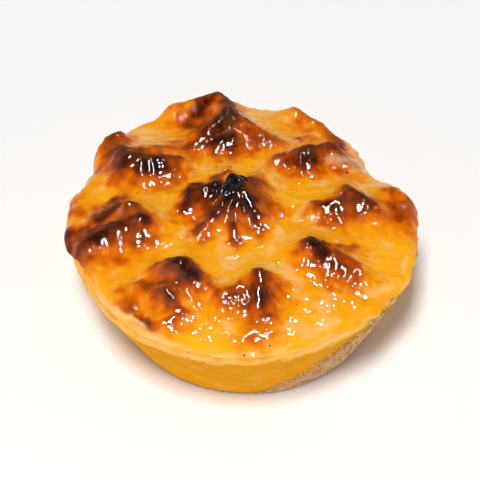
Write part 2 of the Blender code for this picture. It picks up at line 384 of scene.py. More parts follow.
# Azimuth, out, heading, length, turn, start rise, end rise, width, start brown and end brown.
FOLDS = each(Crest, (
    (219.6, 28.6, 318, 6.2, 0, 1.4, 2.9, 2, 0.55, 0.7), (233.9, 27.3, 302, 4.6, 0, 2.9, 1, 2, 0.74, 0.6),
    (40, 26.8, 328, 6.5, -15, 3.6, 1.8, 2.2, 0.75, 0.4), (176, 27.5, 190, 6, 0, 1.6, 1, 2.2, 0.7, 0.6),
    (138, 30, 10, 8, 0, 2.6, 1.2, 3.2, 0.4, 0.3), (94, 27, 280, 4.5, 0, 2, 1.2, 2.4, 0.9, 0.75),
    (118, 23, 7, 9.4, 0, 0.9, 2, 1.9, 0.6, 0.9), (145, 7, 176, 5.4, 0, 4.3, 3.6, 2, 0.9, 0.85)))
EDGE_LIPS = each(Crest, (
    (228.3, 35, 318, 8.7, 70, 1.3, 1, 1.4, 0.55, 0.55), (216, 31.5, 285, 5, 0, 0.6, 0.6, 2.2, 0.5, 0.5),
    (97, 36.5, 182, 10.5, 10, 4.9, 3.6, 2.6, 0.55, 0.35), (118, 38.5, 215, 8, 0, 1.4, 1.2, 3, 0.1, 0.1),
    (137, 37.2, 200, 5, 20, 5, 3.4, 2.6, 0.6, 0.4), (160, 38, 258, 6.5, 10, 1, 1.2, 3, 0.3, 0.5),
    (178, 38.4, 262, 4.5, 10, 1.6, 1, 2.4, 0.85, 0.8), (9, 33.5, 330, 7.5, -35, 3, 2.4, 3.2, 0.5, 0.5),
    (68, 36, 322, 9, 0, 2.4, 1.4, 2.8, 0.45, 0.5), (270, 31.5, 0, 4, 0, 0.8, 0.8, 2, 0.3, 0.3)))
# Azimuth, out, far azimuth, far out, width, start brown and end brown.
BACK_SCORCHES = each(Scorch, (
    (102, 36.2, 109, 33.2, 2.6, 0.86, 0.8), (110, 36, 114, 36, 3.4, 0.4, 0.34),
    (106, 30, 103, 27, 2.4, 0.42, 0.5), (93.5, 36.8, 92, 31, 2.4, 0.8, 0.78),
    (104.5, 24, 97.5, 21.6, 2.4, 0.88, 0.88), (109.5, 22.8, 114.5, 23, 1.8, 0.7, 0.6),
    (86, 23.5, 73, 22.4, 1.8, 0.62, 0.5), (149, 26.3, 141, 21.3, 2.3, 0.82, 0.82),
    (149.5, 32.4, 152, 30, 2, 0.62, 0.62), (144.5, 36, 144.5, 33.5, 2, 0.5, 0.6),
    (138, 38.5, 133, 37.5, 2.2, 0.62, 0.6), (150, 36.5, 152.5, 34.7, 2, 0.45, 0.45),
    (141, 31, 137, 28, 2.2, 0.55, 0.5), (47.5, 18, 54, 17.8, 1.8, 0.72, 0.66),
    (44, 19, 41, 21, 1.8, 0.85, 0.88), (45, 28.5, 39, 28.5, 1.6, 0.74, 0.7),
    (64, 32, 51, 32.3, 3.8, 0.36, 0.36), (49, 15, 45, 17.5, 2.2, 0.36, 0.34),
    (40, 23, 31, 28, 2.6, 0.42, 0.42), (102.5, 27.5, 101, 24.5, 2, 0.6, 0.6),
    (143.5, 34, 140, 30, 2.6, 0.5, 0.6), (149, 34, 148.5, 31.5, 2.4, 0.5, 0.6),
    (146, 24, 137.5, 19.6, 2.2, 0.78, 0.66), (54, 18, 41, 21.5, 2, 0.66, 0.75),
    (49, 33.8, 43, 31, 1.8, 0.6, 0.55), (60, 26.6, 56, 26, 1.8, 0.5, 0.45),
    (78, 20.6, 75, 21.6, 1.8, 0.62, 0.55), (32, 28.2, 30, 26.5, 1.8, 0.5, 0.5),
    # The first patch on the next line, from azimuth 110 to 106, is painted shade on the back swirl's left.
    (110, 36.5, 106, 31, 3.2, 0.34, 0.36), (105, 34, 98, 36.5, 2.2, 0.8, 0.66),
    (107.5, 31.5, 103, 29.5, 1.8, 0.4, 0.5), (122, 27.5, 108, 25.5, 2, 0.46, 0.5),
    (116, 24.5, 104, 22.5, 2, 0.42, 0.7), (104, 22, 95, 21.5, 1.6, 0.8, 0.8),
    (126, 24.4, 118, 22.4, 2, 0.34, 0.42), (146, 35, 146.5, 31, 2.2, 0.55, 0.66),
    (148.5, 28.5, 147, 25, 1.8, 0.7, 0.75), (145, 24.2, 137, 21, 1.6, 0.8, 0.75),
    (47, 31.4, 42, 30.5, 2.4, 0.5, 0.48), (57, 28, 55, 29.5, 1.6, 0.4, 0.34),
    (36, 27.5, 31, 27, 2, 0.46, 0.46), (46, 20, 42, 22, 1.6, 0.75, 0.8),
    (143.5, 36.6, 144, 35.2, 2.4, 0.5, 0.5), (139, 38.6, 137, 38.2, 2, 0.8, 0.8),
    (131, 27.2, 126, 26.2, 1.8, 0.5, 0.5), (106, 29.6, 102, 28.6, 2, 0.7, 0.75),
    (100, 27, 98.5, 24, 1.8, 0.8, 0.85), (82, 21.6, 78, 21, 1.8, 0.62, 0.6),
    (48.5, 32.6, 44, 31.4, 1.8, 0.6, 0.55), (31.5, 27.4, 29, 26.6, 1.6, 0.5, 0.45)))
SIDE_SCORCHES = each(Scorch, (
    (-2.5, 16.3, -1.7, 20.8, 1.8, 0.62, 0.72), (0.5, 23, -2.3, 26.8, 1.6, 0.7, 0.6),
    (-7.4, 24, -4, 26, 1.5, 0.4, 0.4), (-6.5, 19, -8.5, 22, 2.2, 0.38, 0.36),
    (8, 32, 3.7, 33, 1.8, 0.45, 0.5), (3.5, 35, -3.2, 34.9, 2.2, 0.66, 0.62),
    (1, 31.5, -3, 31.5, 1.4, 0.45, 0.45), (-34.5, 24.2, -35.4, 26.3, 1.5, 0.62, 0.55),
    (-44.6, 24, -44, 25.5, 1.8, 0.5, 0.45), (-44.5, 28.8, -42, 29.7, 2.2, 0.36, 0.36),
    (-42, 19.5, -40, 22, 1.7, 0.85, 0.75), (175.5, 31.3, 171.5, 26.7, 2.4, 0.7, 0.74),
    (181, 33.8, 189, 31.2, 2, 0.75, 0.9), (178.7, 38.7, 182, 36, 2.4, 0.72, 0.66),
    (184.5, 27.8, 189, 26, 1.8, 0.8, 0.85), (194, 30.5, 197, 23.5, 2.8, 0.36, 0.42),
    (170, 37, 173, 36, 2, 0.32, 0.3), (178.9, 31, 174.3, 27.9, 1.8, 0.62, 0.68),
    (171, 30, 173.5, 27, 2, 0.6, 0.66), (197.5, 33.5, 204.5, 24, 2.6, 0.38, 0.42),
    (192, 31, 191, 27.5, 2, 0.6, 0.6), (4, 25, 0.5, 28, 1.8, 0.75, 0.62), (2.5, 31.6, -2, 34, 2, 0.7, 0.7),
    (-4, 25.2, -10, 22.6, 2.2, 0.5, 0.46), (1, 17.6, -5, 20.6, 1.8, 0.66, 0.62),
    (-43, 23, -39, 27, 2.4, 0.62, 0.5), (-29, 23.5, -24, 25, 2, 0.55, 0.5),
    (-49, 26, -43.5, 30, 2.6, 0.42, 0.4), (170.5, 32, 165, 27, 2, 0.62, 0.68),
    (182.5, 31.6, 184, 29, 1.6, 0.7, 0.75), (190.5, 24.7, 195.5, 21.8, 1.8, 0.72, 0.78),
    (193, 33.9, 193, 35.5, 2, 0.58, 0.5), (181, 38.6, 184, 38, 2.2, 0.8, 0.75),
    (1, 16.3, 1.5, 20.9, 1.8, 0.72, 0.82), (-5.5, 18, -4, 21, 1.5, 0.58, 0.62),
    (-2, 24.5, -2.5, 26.5, 1.8, 0.7, 0.6), (7, 24.4, 2.5, 27.9, 1.8, 0.62, 0.66),
    (-42, 22.5, -40.5, 27, 1.9, 0.85, 0.75), (-40.5, 27.5, -42, 30, 1.8, 0.5, 0.46)))
FRONT_SCORCHES = each(Scorch, (
    (274, 25.5, 277.5, 27.6, 2.2, 0.74, 0.76), (272.3, 23.4, 276, 24, 1.8, 0.66, 0.75),
    (263.3, 24.6, 258.5, 24.7, 1.4, 0.42, 0.42), (266, 22.8, 256, 23.4, 1.3, 0.58, 0.56),
    (235, 22.3, 239.6, 21.8, 1.9, 0.92, 0.88), (226, 24.3, 233, 24, 2, 0.62, 0.66),
    (234, 27.6, 237.5, 29.4, 1.7, 0.7, 0.66), (221, 32.2, 225, 33.5, 2, 0.5, 0.46),
    (227.5, 35, 232.5, 34.6, 1.8, 0.7, 0.66), (238, 33.4, 241, 31.5, 1.3, 0.58, 0.5),
    (222, 28.5, 228, 31.5, 1.6, 0.42, 0.38), (286, 23, 290, 24.5, 1.3, 0.5, 0.36),
    (267, 33.8, 274, 34, 1.5, 0.25, 0.25), (234, 20.2, 241, 20, 1.6, 0.85, 0.75),
    (241, 20.5, 244, 23, 1.8, 0.8, 0.7), (222.5, 26.6, 228, 26, 2, 0.6, 0.62),
    (217, 34.6, 222, 34.6, 1.8, 0.45, 0.5), (262, 24.6, 270, 25.4, 1.8, 0.62, 0.66),
    (274, 26.4, 282.5, 27, 1.6, 0.55, 0.55), (279, 22.5, 281, 25, 1.8, 0.85, 0.8),
    (287, 23.2, 289.5, 24.6, 1.6, 0.5, 0.42), (261.5, 24.6, 268.5, 24.1, 1.6, 0.66, 0.74),
    (268.5, 24.1, 274, 22.5, 1.6, 0.75, 0.9), (275, 26.5, 276, 24, 1.6, 0.8, 0.85),
    (229, 34.5, 232, 35.2, 1.4, 0.66, 0.7), (238, 34, 240, 33.4, 1.4, 0.5, 0.46),
    (231, 34.9, 233, 35.1, 1.4, 0.75, 0.7), (270, 32.5, 275, 33.5, 1.8, 0.42, 0.38)))
MIDDLE_SCORCHES = each(Scorch, (
    (146, 10.6, 150, 6.5, 2, 0.85, 0.88), (165, 11.9, 174, 12.3, 1.8, 0.62, 0.55),
    (206, 3, 251, 7, 1.2, 0.62, 0.55), (194, 6.4, 207.4, 10.9, 1.6, 0.8, 0.7),
    (-4, 1.8, -39, 3.8, 1.8, 0.95, 0.85), (190, 1.3, 63, 0.8, 1.6, 0.9, 0.9),
    (355, 4.5, 350, 8, 1.6, 0.6, 0.42), (120, 9.5, 152, 10.5, 1.6, 0.85, 0.8),
    (136, 12, 150, 6, 2.4, 0.85, 0.95), (180, 4.6, 150, 1.5, 1.8, 0.95, 0.95),
    (-30, 1.5, -55, 5.5, 1.7, 0.95, 0.8), (30, 4.5, 2, 7.4, 1.8, 0.62, 0.5),
    (121, 12.2, 104, 10.6, 1.6, 0.6, 0.56), (140, 12.5, 176, 12.5, 2, 0.75, 0.7),
    (159, 7.7, 178, 7, 2, 0.85, 0.8), (200, 9.6, 216, 8.3, 1.6, 0.72, 0.66),
    (259.5, 7.6, 255.5, 4.6, 1.2, 0.7, 0.75), (74, 6.9, 58, 8.6, 1.6, 0.62, 0.52),
    (40, 2.5, 5, 5.5, 1.6, 0.75, 0.68), (73, 6.9, 60, 8.6, 1.8, 0.78, 0.62),
    (59, 1.4, 18, 2.6, 1.4, 0.95, 0.9)))
SCORCHES = (*BACK_SCORCHES, *SIDE_SCORCHES, *FRONT_SCORCHES, *MIDDLE_SCORCHES)


@dataclass(frozen=True)
class Trace:
    """A trace of flour, dried fibres with painted sheen, soaked-in syrup or a run of syrup, from one place
    to another.
    """

    azimuth: float
    out: float
    far_azimuth: float
    far_out: float
    width: float
    strength: float


# Azimuth, out, far azimuth, far out, width and strength.
DUSTINGS = each(Trace, (
    (36, 24.5, 30, 29, 1.3, 0.55), (32, 28, 26, 28.5, 1.4, 0.5), (31, 30.5, 22, 31.5, 1.5, 0.5),
    (24, 32.5, 14, 33, 1.2, 0.4), (290, 34.5, 302, 34, 1, 0.4)))
# Traces of dried fibres and of painted grey-brown sheen along crests, mixed into the same tint.
DRIED_AND_SHEEN_TRACES = each(Trace, (
    (90, 4.6, 77, 4.6, 1.8, 0.9), (60, 4.2, 28, 5.4, 1.9, 0.9), (110, 5.4, 118, 6.4, 1.6, 0.6),
    (-1, 22, -1, 27, 1.4, 0.5), (97.5, 27.5, 92.5, 31.5, 1.7, 0.6), (98, 27.6, 92.5, 27, 1.2, 0.6),
    (92.5, 27, 95, 22.6, 1.3, 0.8), (146.5, 31.2, 141.5, 26, 1.5, 0.7), (141, 25.6, 136.5, 23.2, 1.4, 0.6),
    (3.5, 21, 7.5, 25, 1.7, 0.6), (7.5, 25, 4, 28.5, 1.6, 0.5), (74, 6.6, 60, 8.2, 1.9, 0.9),
    (47, 21, 44, 25, 1.6, 0.5), (172, 29.5, 166, 26, 1.6, 0.55)))
SOAKINGS = each(Trace, (
    (108, 25.5, 92, 23.5, 3.4, 0.85), (92, 23.5, 80, 23.5, 3.2, 0.85), (93, 36, 112, 35, 3.2, 0.9),
    (148, 30, 139, 27, 2.6, 0.7), (46, 18.5, 38, 24, 3.2, 0.85), (253, 26, 267, 26, 2.4, 0.6),
    (-8, 25, 2, 22, 2.2, 0.4), (4, 21.5, 5, 27, 2.6, 0.8), (14, 36, -8, 36, 4, 0.7),
    (-40, 24.5, -39, 27, 1.8, 0.7), (158, 7.5, 165, 9, 1.5, 0.85), (148, 36, 136, 36.5, 3, 0.8)))
RUNS = each(Trace, (
    (106, 19.9, 103, 20.2, 1.1, 1), (117.5, 18.7, 120, 16.3, 1, 0.8), (130.5, 15.7, 131, 15.4, 1, 0.8),
    (150.5, 28.2, 150, 27.8, 1.1, 1), (154, 27.3, 155, 26.5, 1, 0.9), (158.5, 28.7, 158, 28.2, 1, 0.8),
    (151.5, 24.5, 152, 23.5, 1.1, 1), (152.5, 23, 153, 22, 1, 0.9), (147, 21.5, 148, 20.5, 1, 0.9),
    (137, 21.7, 138, 20.8, 1, 0.8), (145.5, 22.6, 146, 21.6, 1.1, 1), (151, 16.9, 149, 16.2, 1, 0.9),
    (189.5, 33.8, 192, 34.1, 1, 1), (190, 31.7, 193.5, 32, 1, 1), (191.5, 27.7, 201, 27.7, 1, 1),
    (192.5, 23.7, 200.5, 24.2, 1, 1), (190.5, 22.6, 192.5, 21.9, 1, 0.9),
    (196.5, 21.4, 200.5, 22.6, 1, 0.9), (178, 7.8, 180, 7.4, 0.9, 1), (169, 10.8, 163, 6.5, 0.9, 0.7),
    (210.5, 2.4, 220.5, 1.1, 0.9, 0.8), (204.5, 6.1, 210, 8.4, 0.9, 0.8), (241.5, 5, 250.5, 6.1, 0.9, 0.8),
    (1.5, 14.6, -5, 16.4, 1, 0.9), (-13.5, 18.1, -11, 19.7, 1.1, 1), (-11, 21, -11.5, 21.6, 1, 0.9),
    (-12, 12.6, -14, 12.4, 1, 0.9), (-28.5, 13.1, -25, 11.1, 1, 0.9), (52, 15.1, 49, 14.6, 1, 0.9),
    (42.5, 13.3, 33, 12.3, 1, 1), (24, 14.7, 27, 14.8, 1, 0.9), (-45, 20.1, -45, 21.9, 1, 0.9),
    (-56, 12.7, -64, 13.4, 1, 1), (-58.5, 15.5, -59, 14.9, 1, 0.9), (235, 22.3, 237, 22.8, 0.9, 0.9),
    (234.5, 23, 234, 23.5, 0.9, 0.8), (233, 27.2, 238, 28.4, 1, 1), (253.5, 22.6, 257.5, 24.2, 0.9, 0.9),
    (262.5, 23.8, 264.5, 23.7, 0.9, 0.9), (270, 24.4, 279, 22.7, 0.9, 0.9),
    (258, 25.6, 261.5, 25.5, 0.9, 0.8), (265, 25, 267, 24.9, 0.9, 0.8), (250.5, 28.9, 253.5, 29, 0.9, 1),
    (249.5, 32.3, 250.5, 32, 0.9, 1), (252, 33.6, 254, 33.4, 0.9, 1), (259, 31.7, 261, 32.3, 0.9, 1),
    (265, 33, 268, 33.5, 0.9, 1), (271.5, 31.3, 273, 32.4, 0.9, 1)))


@dataclass(frozen=True)
class PipedTop:
    """The height of the filling over the rim: a dome with slumped swirls, rolled down onto the lip."""

    cup: CupShape = CupShape()
    settle: float = -0.3
    crown: float = 4.6
    edge: float = 0.9
    inset: float = 1.3
    roll: float = 2.6
    slack: tuple[Swell, ...] = (Swell(262, 0.7, 45),)
    crest_power: float = 2.3
    fall_power: float = 1.6
    merge: float = 5.0
    arc_steps: int = 6
    reach: float = 6.0
    overhangs: tuple[Swell, ...] = (
        Swell(4, 1.5, 12), Swell(40, 1.5, 14), Swell(69, 1.1, 7), Swell(93, 2.7, 10), Swell(117, 4.2, 15),
        Swell(140, 3.9, 11), Swell(165, 2.6, 9), Swell(182, 2.8, 7), Swell(335, 1.0, 22))
    skirt_share: float = 0.5
    skirt_spread: float = 1.9
    flute: Noise = Noise(60, 1.0)
    flute_spacing: float = 1.6
    flute_turns: float = 1.3
    flute_length: float = 12.0
    flute_reach: float = 2.6
    flute_floor: float = 0.003
    flute_step: float = 1.7
    flute_start: tuple[float, float] = (0.3, 1.8)
    toasting: float = 0.84
    core_spread: float = 1.0
    core_ahead: float = 0.35
    tan_share: float = 0.5
    tan_spread: float = 1.8
    tan_ahead: float = 0.6
    brown_merge: float = 3.0

    def radius_at(self, azimuth: Array) -> Array:
        """The filling's outline over the lip, and past it where a swirl ran over."""
        return self.cup.radius_at(azimuth) - self.inset + sum_of_swells(azimuth, self.overhangs)

    def middle(self) -> Array:
        """The middle of the tart's outline, which stands over the frame's origin."""
        azimuth = np.arange(0, 360, 0.5)
        out = np.maximum(self.cup.radius_at(azimuth), self.radius_at(azimuth))
        plan = out[:, None] * turning(azimuth)
        return (plan.min(axis=0) + plan.max(axis=0)) / 2

    def arc(self, start: Array, heading: float, length: float, turn: float) -> Array:
        """Points along an arc, each a step on from the last with the heading turning steadily left."""
        way = heading + turn * (np.arange(self.arc_steps) + 0.5) / self.arc_steps
        steps = length / self.arc_steps * turning(way)
        return np.concatenate([[start], start + np.cumsum(steps, axis=0)])

    def strokes(self) -> Iterator[Stroke]:
        """Every crest of the swirls, then the folds and the lips at the edge."""
        for swirl in SWIRLS:
            tip = swirl.out * turning(swirl.azimuth)
            for ridge in swirl.ridges:
                path = self.arc(tip, ridge.heading, ridge.length, ridge.turn)
                browns = (ridge.tip_brown, ridge.end_brown)
                yield Stroke(path, (swirl.tip_rise, ridge.end_rise), swirl.crest_width, browns)
        for crest in (*FOLDS, *EDGE_LIPS):
            path = self.arc(crest.out * turning(crest.azimuth), crest.heading, crest.length, crest.turn)
            browns = (crest.start_brown, crest.end_brown)
            yield Stroke(path, (crest.start_rise, crest.end_rise), crest.width, browns)

    def straight(self, mark: Scorch | Trace, browns: tuple[float, float] = (0, 0)) -> Stroke:
        """A mark as a stroke: straight from its near place to its far one, with no rise."""
        ends = (mark.out * turning(mark.azimuth), mark.far_out * turning(mark.far_azimuth))
        return Stroke(np.array(ends), (0, 0), mark.width, browns)

    def patches(self) -> Iterator[Stroke]:
        """Every scorched patch, and the one of painted shade, as a straight stroke."""
        for patch in SCORCHES:
            yield self.straight(patch, (patch.start_brown, patch.end_brown))

    def nearest_on(self, stroke: Stroke, plan: Array) -> tuple[Array, Array, Array, Array]:
        """Finds each place's nearest point on a stroke.

        Args:
            stroke: the stroke.
            plan: places seen from above, with x and y on the last axis.

        Returns:
            Which places are within reach, then for those the distance, how far along the stroke the
            nearest point is, 0 to 1, and how far ahead of it the place lies, from -1 behind to 1 in front.
        """
        low = stroke.path.min(axis=0) - self.reach * stroke.width
        high = stroke.path.max(axis=0) + self.reach * stroke.width
        near = ((plan > low) & (plan < high)).all(axis=-1)
        places = plan[near]
        distance = np.full(len(places), np.inf)
        along = np.zeros(len(places))
        ahead = np.zeros(len(places))
        for index, (start, end) in enumerate(zip(stroke.path[:-1], stroke.path[1:])):
            step = end - start
            part = np.clip(((places - start) * step).sum(axis=-1) / (step @ step), 0, 1)
            away = places - start - part[:, None] * step
            this = np.hypot(away[:, 0], away[:, 1])
            closer = this < distance
            distance = np.where(closer, this, distance)
            along = np.where(closer, (index + part) / (len(stroke.path) - 1), along)
            ahead = np.where(closer, -away[:, 1] / np.maximum(this, TINY), ahead)
        return near, distance, along, ahead

    def crests(self, plan: Array) -> Array:
        """The crests' height over the dome.

        Args:
            plan: places seen from above, with x and y on the last axis.

        Returns:
            Each crest adds rise times a narrow and a broad bell of the distance, the rise running from
            start to end as along^1.6. Crests join as the fifth root of the sum of fifth powers.
        """
        height = np.zeros(plan.shape[:-1])
        for stroke in self.strokes():
            near, distance, along, _ = self.nearest_on(stroke, plan)
            rise = stroke.rises[0] + (stroke.rises[1] - stroke.rises[0]) * along ** self.fall_power
            bell = np.exp(-(distance / stroke.width) ** self.crest_power)
            skirt = np.exp(-(distance / (self.skirt_spread * stroke.width)) ** 2)
            bell = (1 - self.skirt_share) * bell + self.skirt_share * skirt
            height[near] += (rise * bell) ** self.merge
        return height ** (1 / self.merge)

    def browning(self, plan: Array) -> Array:
        """How far the oven browned the top, with one patch of painted shade: 0 is yolk yellow, 1 nearly
        black and 1.5 charred through.

        Args:
            plan: places seen from above, with x and y on the last axis.

        Returns:
            The cube root of the sum of cubes over all strokes. Each gives its own browning times the
            larger of a core, exp(-(distance / spread)²), and a lower plateau with the fourth power.
            Both spread farther in front of a stroke than behind it.
        """
        brown = np.zeros(plan.shape[:-1])
        for stroke in itertools.chain(self.strokes(), self.patches()):
            near, distance, along, ahead = self.nearest_on(stroke, plan)
            tan = self.toasting * (stroke.browns[0] + (stroke.browns[1] - stroke.browns[0]) * along)
            core = distance / (self.core_spread * (1 + self.core_ahead * ahead) * stroke.width)
            plateau = distance / (self.tan_spread * (1 + self.tan_ahead * ahead) * stroke.width)
            share = np.maximum(np.exp(-core ** 2), self.tan_share * np.exp(-plateau ** 4))
            brown[near] += (tan * share) ** self.brown_merge
        return brown ** (1 / self.brown_merge)

    def traced(self, traces: tuple[Trace, ...], plan: Array) -> Array:
        """How strong some traces are: the strongest one's bell, strength times exp(-(distance / width)²).

        Args:
            traces: the traces.
            plan: places seen from above, with x and y on the last axis.

        Returns:
            Amounts from 0 to 1.
        """
        total = np.zeros(plan.shape[:-1])
        for trace in traces:
            near, distance, _, _ = self.nearest_on(self.straight(trace), plan)
            total[near] = np.maximum(total[near], trace.strength * np.exp(-(distance / trace.width) ** 2))
        return total

    def flutes(self, plan: Array) -> Array:
        """Wrinkles that run down from the crests: noise read at the nearest point on the crest.

        Args:
            plan: places seen from above, with x and y on the last axis.

        Returns:
            Values around 0. The noise also turns with the way down from the crest, so that the wrinkles
            fan out round a tip. Crests are averaged by exp(-(distance / reach)²), and all fade out far
            from any crest.
        """
        total = np.zeros(plan.shape[:-1])
        weight = np.full(plan.shape[:-1], self.flute_floor)
        for index, stroke in enumerate(self.strokes()):
            near, distance, along, _ = self.nearest_on(stroke, plan)
            steps = np.linspace(0, 1, len(stroke.path))
            foot = np.column_stack([np.interp(along, steps, stroke.path[:, axis]) for axis in (0, 1)])
            way = (plan[near] - foot) / np.maximum(distance, TINY)[:, None]
            round_tip = foot / self.flute_spacing + self.flute_turns * way
            down = distance / self.flute_length + self.flute_step * index
            wrinkle = self.flute.at(np.column_stack([round_tip, down]))
            share = np.exp(-(distance / self.flute_reach) ** 2)
            total[near] += share * wrinkle * smooth_step(distance, *self.flute_start)
            weight[near] += share
        return total / weight

    def humps(self, plan: Array) -> Array:
        """The broad humps under the swirls, each hump rise times exp(-(distance / radius)²)."""
        total = np.zeros(plan.shape[:-1])
        for swirl in SWIRLS:
            apart = np.hypot(*np.moveaxis(plan - swirl.out * turning(swirl.azimuth), -1, 0))
            total += swirl.hump_rise * np.exp(-(apart / swirl.hump_radius) ** 2)
        return total

    def height_at(self, plan: Array, crests: Array, outline: Array) -> Array:
        """The filling's height: dome, humps and crests, rolled down to the lip at the edge.

        Args:
            plan: places seen from above, with x and y on the last axis.
            crests: the crests' height there.
            outline: the filling's outer radius at their azimuth.

        Returns:
            Heights over the rim. The dome falls from the crown to the edge with the cube of the
            distance, and the roll over the last few millimetres is 1 - t^p, with p as 2 less the slack.
        """
        x, y = np.moveaxis(plan, -1, 0)
        azimuth = np.degrees(np.arctan2(y, x))
        out = np.hypot(x, y)
        fall = np.minimum(out / self.cup.radius_at(azimuth), 1) ** 3
        sag = self.cup.lip_at(azimuth)
        dome = self.edge + (self.crown - self.edge) * (1 - fall) + sag * fall
        lip = sag + self.settle
        t = np.clip((out - outline) / self.roll + 1, 0, 1)
        rolled = 1 - t ** (2 - sum_of_swells(azimuth, self.slack))
        return lip + (dome + self.humps(plan) + crests - lip) * rolled


@dataclass
class Piece:
    """A mesh being made: its points in the rim's frame, its faces and what it holds at each point."""

    name: str
    points: Array
    faces: list[Array]
    slot: Slot
    top: PipedTop = PipedTop()
    layers: dict[str, Array] = field(default_factory=dict)

    def stand_up(self, material: bpy.types.Material, replaces: str = "") -> bpy.types.Object:
        """Writes the mesh in metres on the ground, dresses it and hangs it on the tart's body.

        Args:
            material: its finish.
            replaces: the CAD node that it stands for, if any.

        Returns:
            The object, at the origin, with its place in its mesh.
        """
        to_ground = np.append(-self.top.middle(), self.top.cup.height)
        places = (self.points.reshape(-1, 3) + to_ground) * MM
        corners = [face for group in self.faces for face in group.tolist()]
        mesh = bpy.data.meshes.new(self.name)
        mesh.from_pydata(places.tolist(), [], corners)
        for layer, values in self.layers.items():
            kind, field_name = ("FLOAT_VECTOR", "vector") if values.ndim == 2 else ("FLOAT", "value")
            attribute = mesh.attributes.new(layer, kind, "POINT")
            attribute.data.foreach_set(field_name, values.ravel().astype(np.float32))
        mesh.shade_smooth()
        mesh.materials.append(material)
        mesh.validate()
        piece = bpy.data.objects.new(self.name, mesh)
        bpy.context.scene.collection.objects.link(piece)
        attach(piece, BODY)
        if replaces:
            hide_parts(replaces)
        LOG.info("%s: %d faces", self.name, len(corners))
        return piece


def sheet_faces(rows: int, columns: int, closed: bool = False) -> Array:
    """The quads of a grid of points, row after row.

    Args:
        rows: how many rows of points.
        columns: how many points in a row.
        closed: whether each row's last point joins its first.

    Returns:
        Four point numbers for each quad, seen from the side that the rows turn left round.
    """
    row = np.arange(rows - 1)[:, None] * columns
    column = np.arange(columns if closed else columns - 1)[None, :]
    after = (column + 1) % columns
    quads = np.stack([row + column, row + after, row + columns + after, row + columns + column], axis=-1)
    return quads.reshape(-1, 4)


def closed_tube(grid: Array) -> tuple[Array, list[Array]]:
    """Closes a tube at both its ends.

    Args:
        grid: its points, one row for each ring of the tube.

    Returns:
        The points, with the middles of both end rings added, and the faces: the tube's own, and then
        the fan over each end.
    """
    rows, columns = grid.shape[:2]
    count = rows * columns
    first = np.arange(columns)
    last = first + count - columns
    start = np.column_stack([np.roll(first, -1), first, np.full(columns, count)])
    end = np.column_stack([last, np.roll(last, -1), np.full(columns, count + 1)])
    points = np.concatenate([grid.reshape(-1, 3), [grid[0].mean(axis=0), grid[-1].mean(axis=0)]])
    return points, [sheet_faces(rows, columns, closed=True), start, end]


def surface_normals(points: Array) -> Array:
    """Unit normals of a grid of points: the cross product of its two central differences."""
    normal = np.cross(np.gradient(points, axis=0), np.gradient(points, axis=1))
    return normal / np.maximum(np.linalg.norm(normal, axis=-1, keepdims=True), TINY)


@dataclass(frozen=True)
class ShredRelief:
    """Coconut shreds that show as low ridges under the glaze, laid out on a fine square chart.

    Each shred is a short arc, a length and a bend drawn at random. It raises the chart by its height
    times exp(-(distance / half width)²), tapered to its ends, and the highest shred wins.
    """

    seed: int = 41
    count: int = 2200
    spacing: float = 0.12
    half_size: float = 41.0
    lengths: tuple[float, float] = (1.8, 5.0)
    half_widths: tuple[float, float] = (0.24, 0.38)
    heights: tuple[float, float] = (0.02, 0.36)
    unevenness: float = 1.8
    bend: float = 60.0
    samples: int = 9

    def chart(self) -> Array:
        """Draws every shred on the chart, in millimetres of height."""
        random = np.random.default_rng(self.seed)
        cells = int(2 * self.half_size / self.spacing) + 1
        chart = np.zeros((cells, cells))
        for _ in range(self.count):
            start = random.uniform(-self.half_size, self.half_size, 2)
            length = random.uniform(*self.lengths)
            half_width = random.uniform(*self.half_widths)
            share = random.uniform() ** self.unevenness
            height = self.heights[0] + (self.heights[1] - self.heights[0]) * share
            heading = random.uniform(0, 360)
            way = heading + np.linspace(0, random.uniform(-self.bend, self.bend), self.samples)
            line = start + np.cumsum(length / self.samples * turning(way), axis=0)
            self._raise(chart, line, half_width, height)
        return chart

    def _raise(self, chart: Array, line: Array, half_width: float, height: float) -> None:
        """Raises the chart along one shred, through the window round it."""
        margin = 3 * half_width
        low = np.floor((line.min(axis=0) - margin + self.half_size) / self.spacing).astype(int)
        high = np.ceil((line.max(axis=0) + margin + self.half_size) / self.spacing).astype(int)
        low = np.clip(low, 0, len(chart) - 1)
        high = np.clip(high, 1, len(chart))
        if (high <= low).any():
            return
        x = np.arange(low[0], high[0])[:, None] * self.spacing - self.half_size
        y = np.arange(low[1], high[1])[None, :] * self.spacing - self.half_size
        apart = np.hypot(x[..., None] - line[:, 0], y[..., None] - line[:, 1])
        taper = np.sin(np.pi * (np.arange(self.samples) + 0.8) / (self.samples + 0.6)) ** 0.5
        bump = (height * taper * np.exp(-(apart / half_width) ** 2)).max(axis=-1)
        window = chart[low[0]:high[0], low[1]:high[1]]
        np.maximum(window, bump, out=window)

    def read(self, chart: Array, plan: Array) -> Array:
        """Reads the chart between its points, blending the four nearest in proportion.

        Args:
            chart: the drawn shreds.
            plan: places seen from above, with x and y on the last axis.

        Returns:
            The shreds' height at each place.
        """
        places = np.clip((plan + self.half_size) / self.spacing, 0, len(chart) - 1.001)
        column, row = np.moveaxis(places, -1, 0)
        i, j = column.astype(int), row.astype(int)
        s, t = column - i, row - j
        near = chart[i, j] * (1 - s) + chart[i + 1, j] * s
        far = chart[i, j + 1] * (1 - s) + chart[i + 1, j + 1] * s
        return near * (1 - t) + far * t


@dataclass(frozen=True)
class Pattern:
    """A noise pattern in a finish: its size in millimetres, and how detailed, rough and warped it is."""

    size: float
    detail: float = 2.0
    roughness: float = 0.5
    distortion: float = 0.0


@dataclass(frozen=True)
class Band:
    """A straight change in a finish, from one share at a low value to another at a high one."""

    low: float
    high: float
    least: float = 0.0
    most: float = 1.0


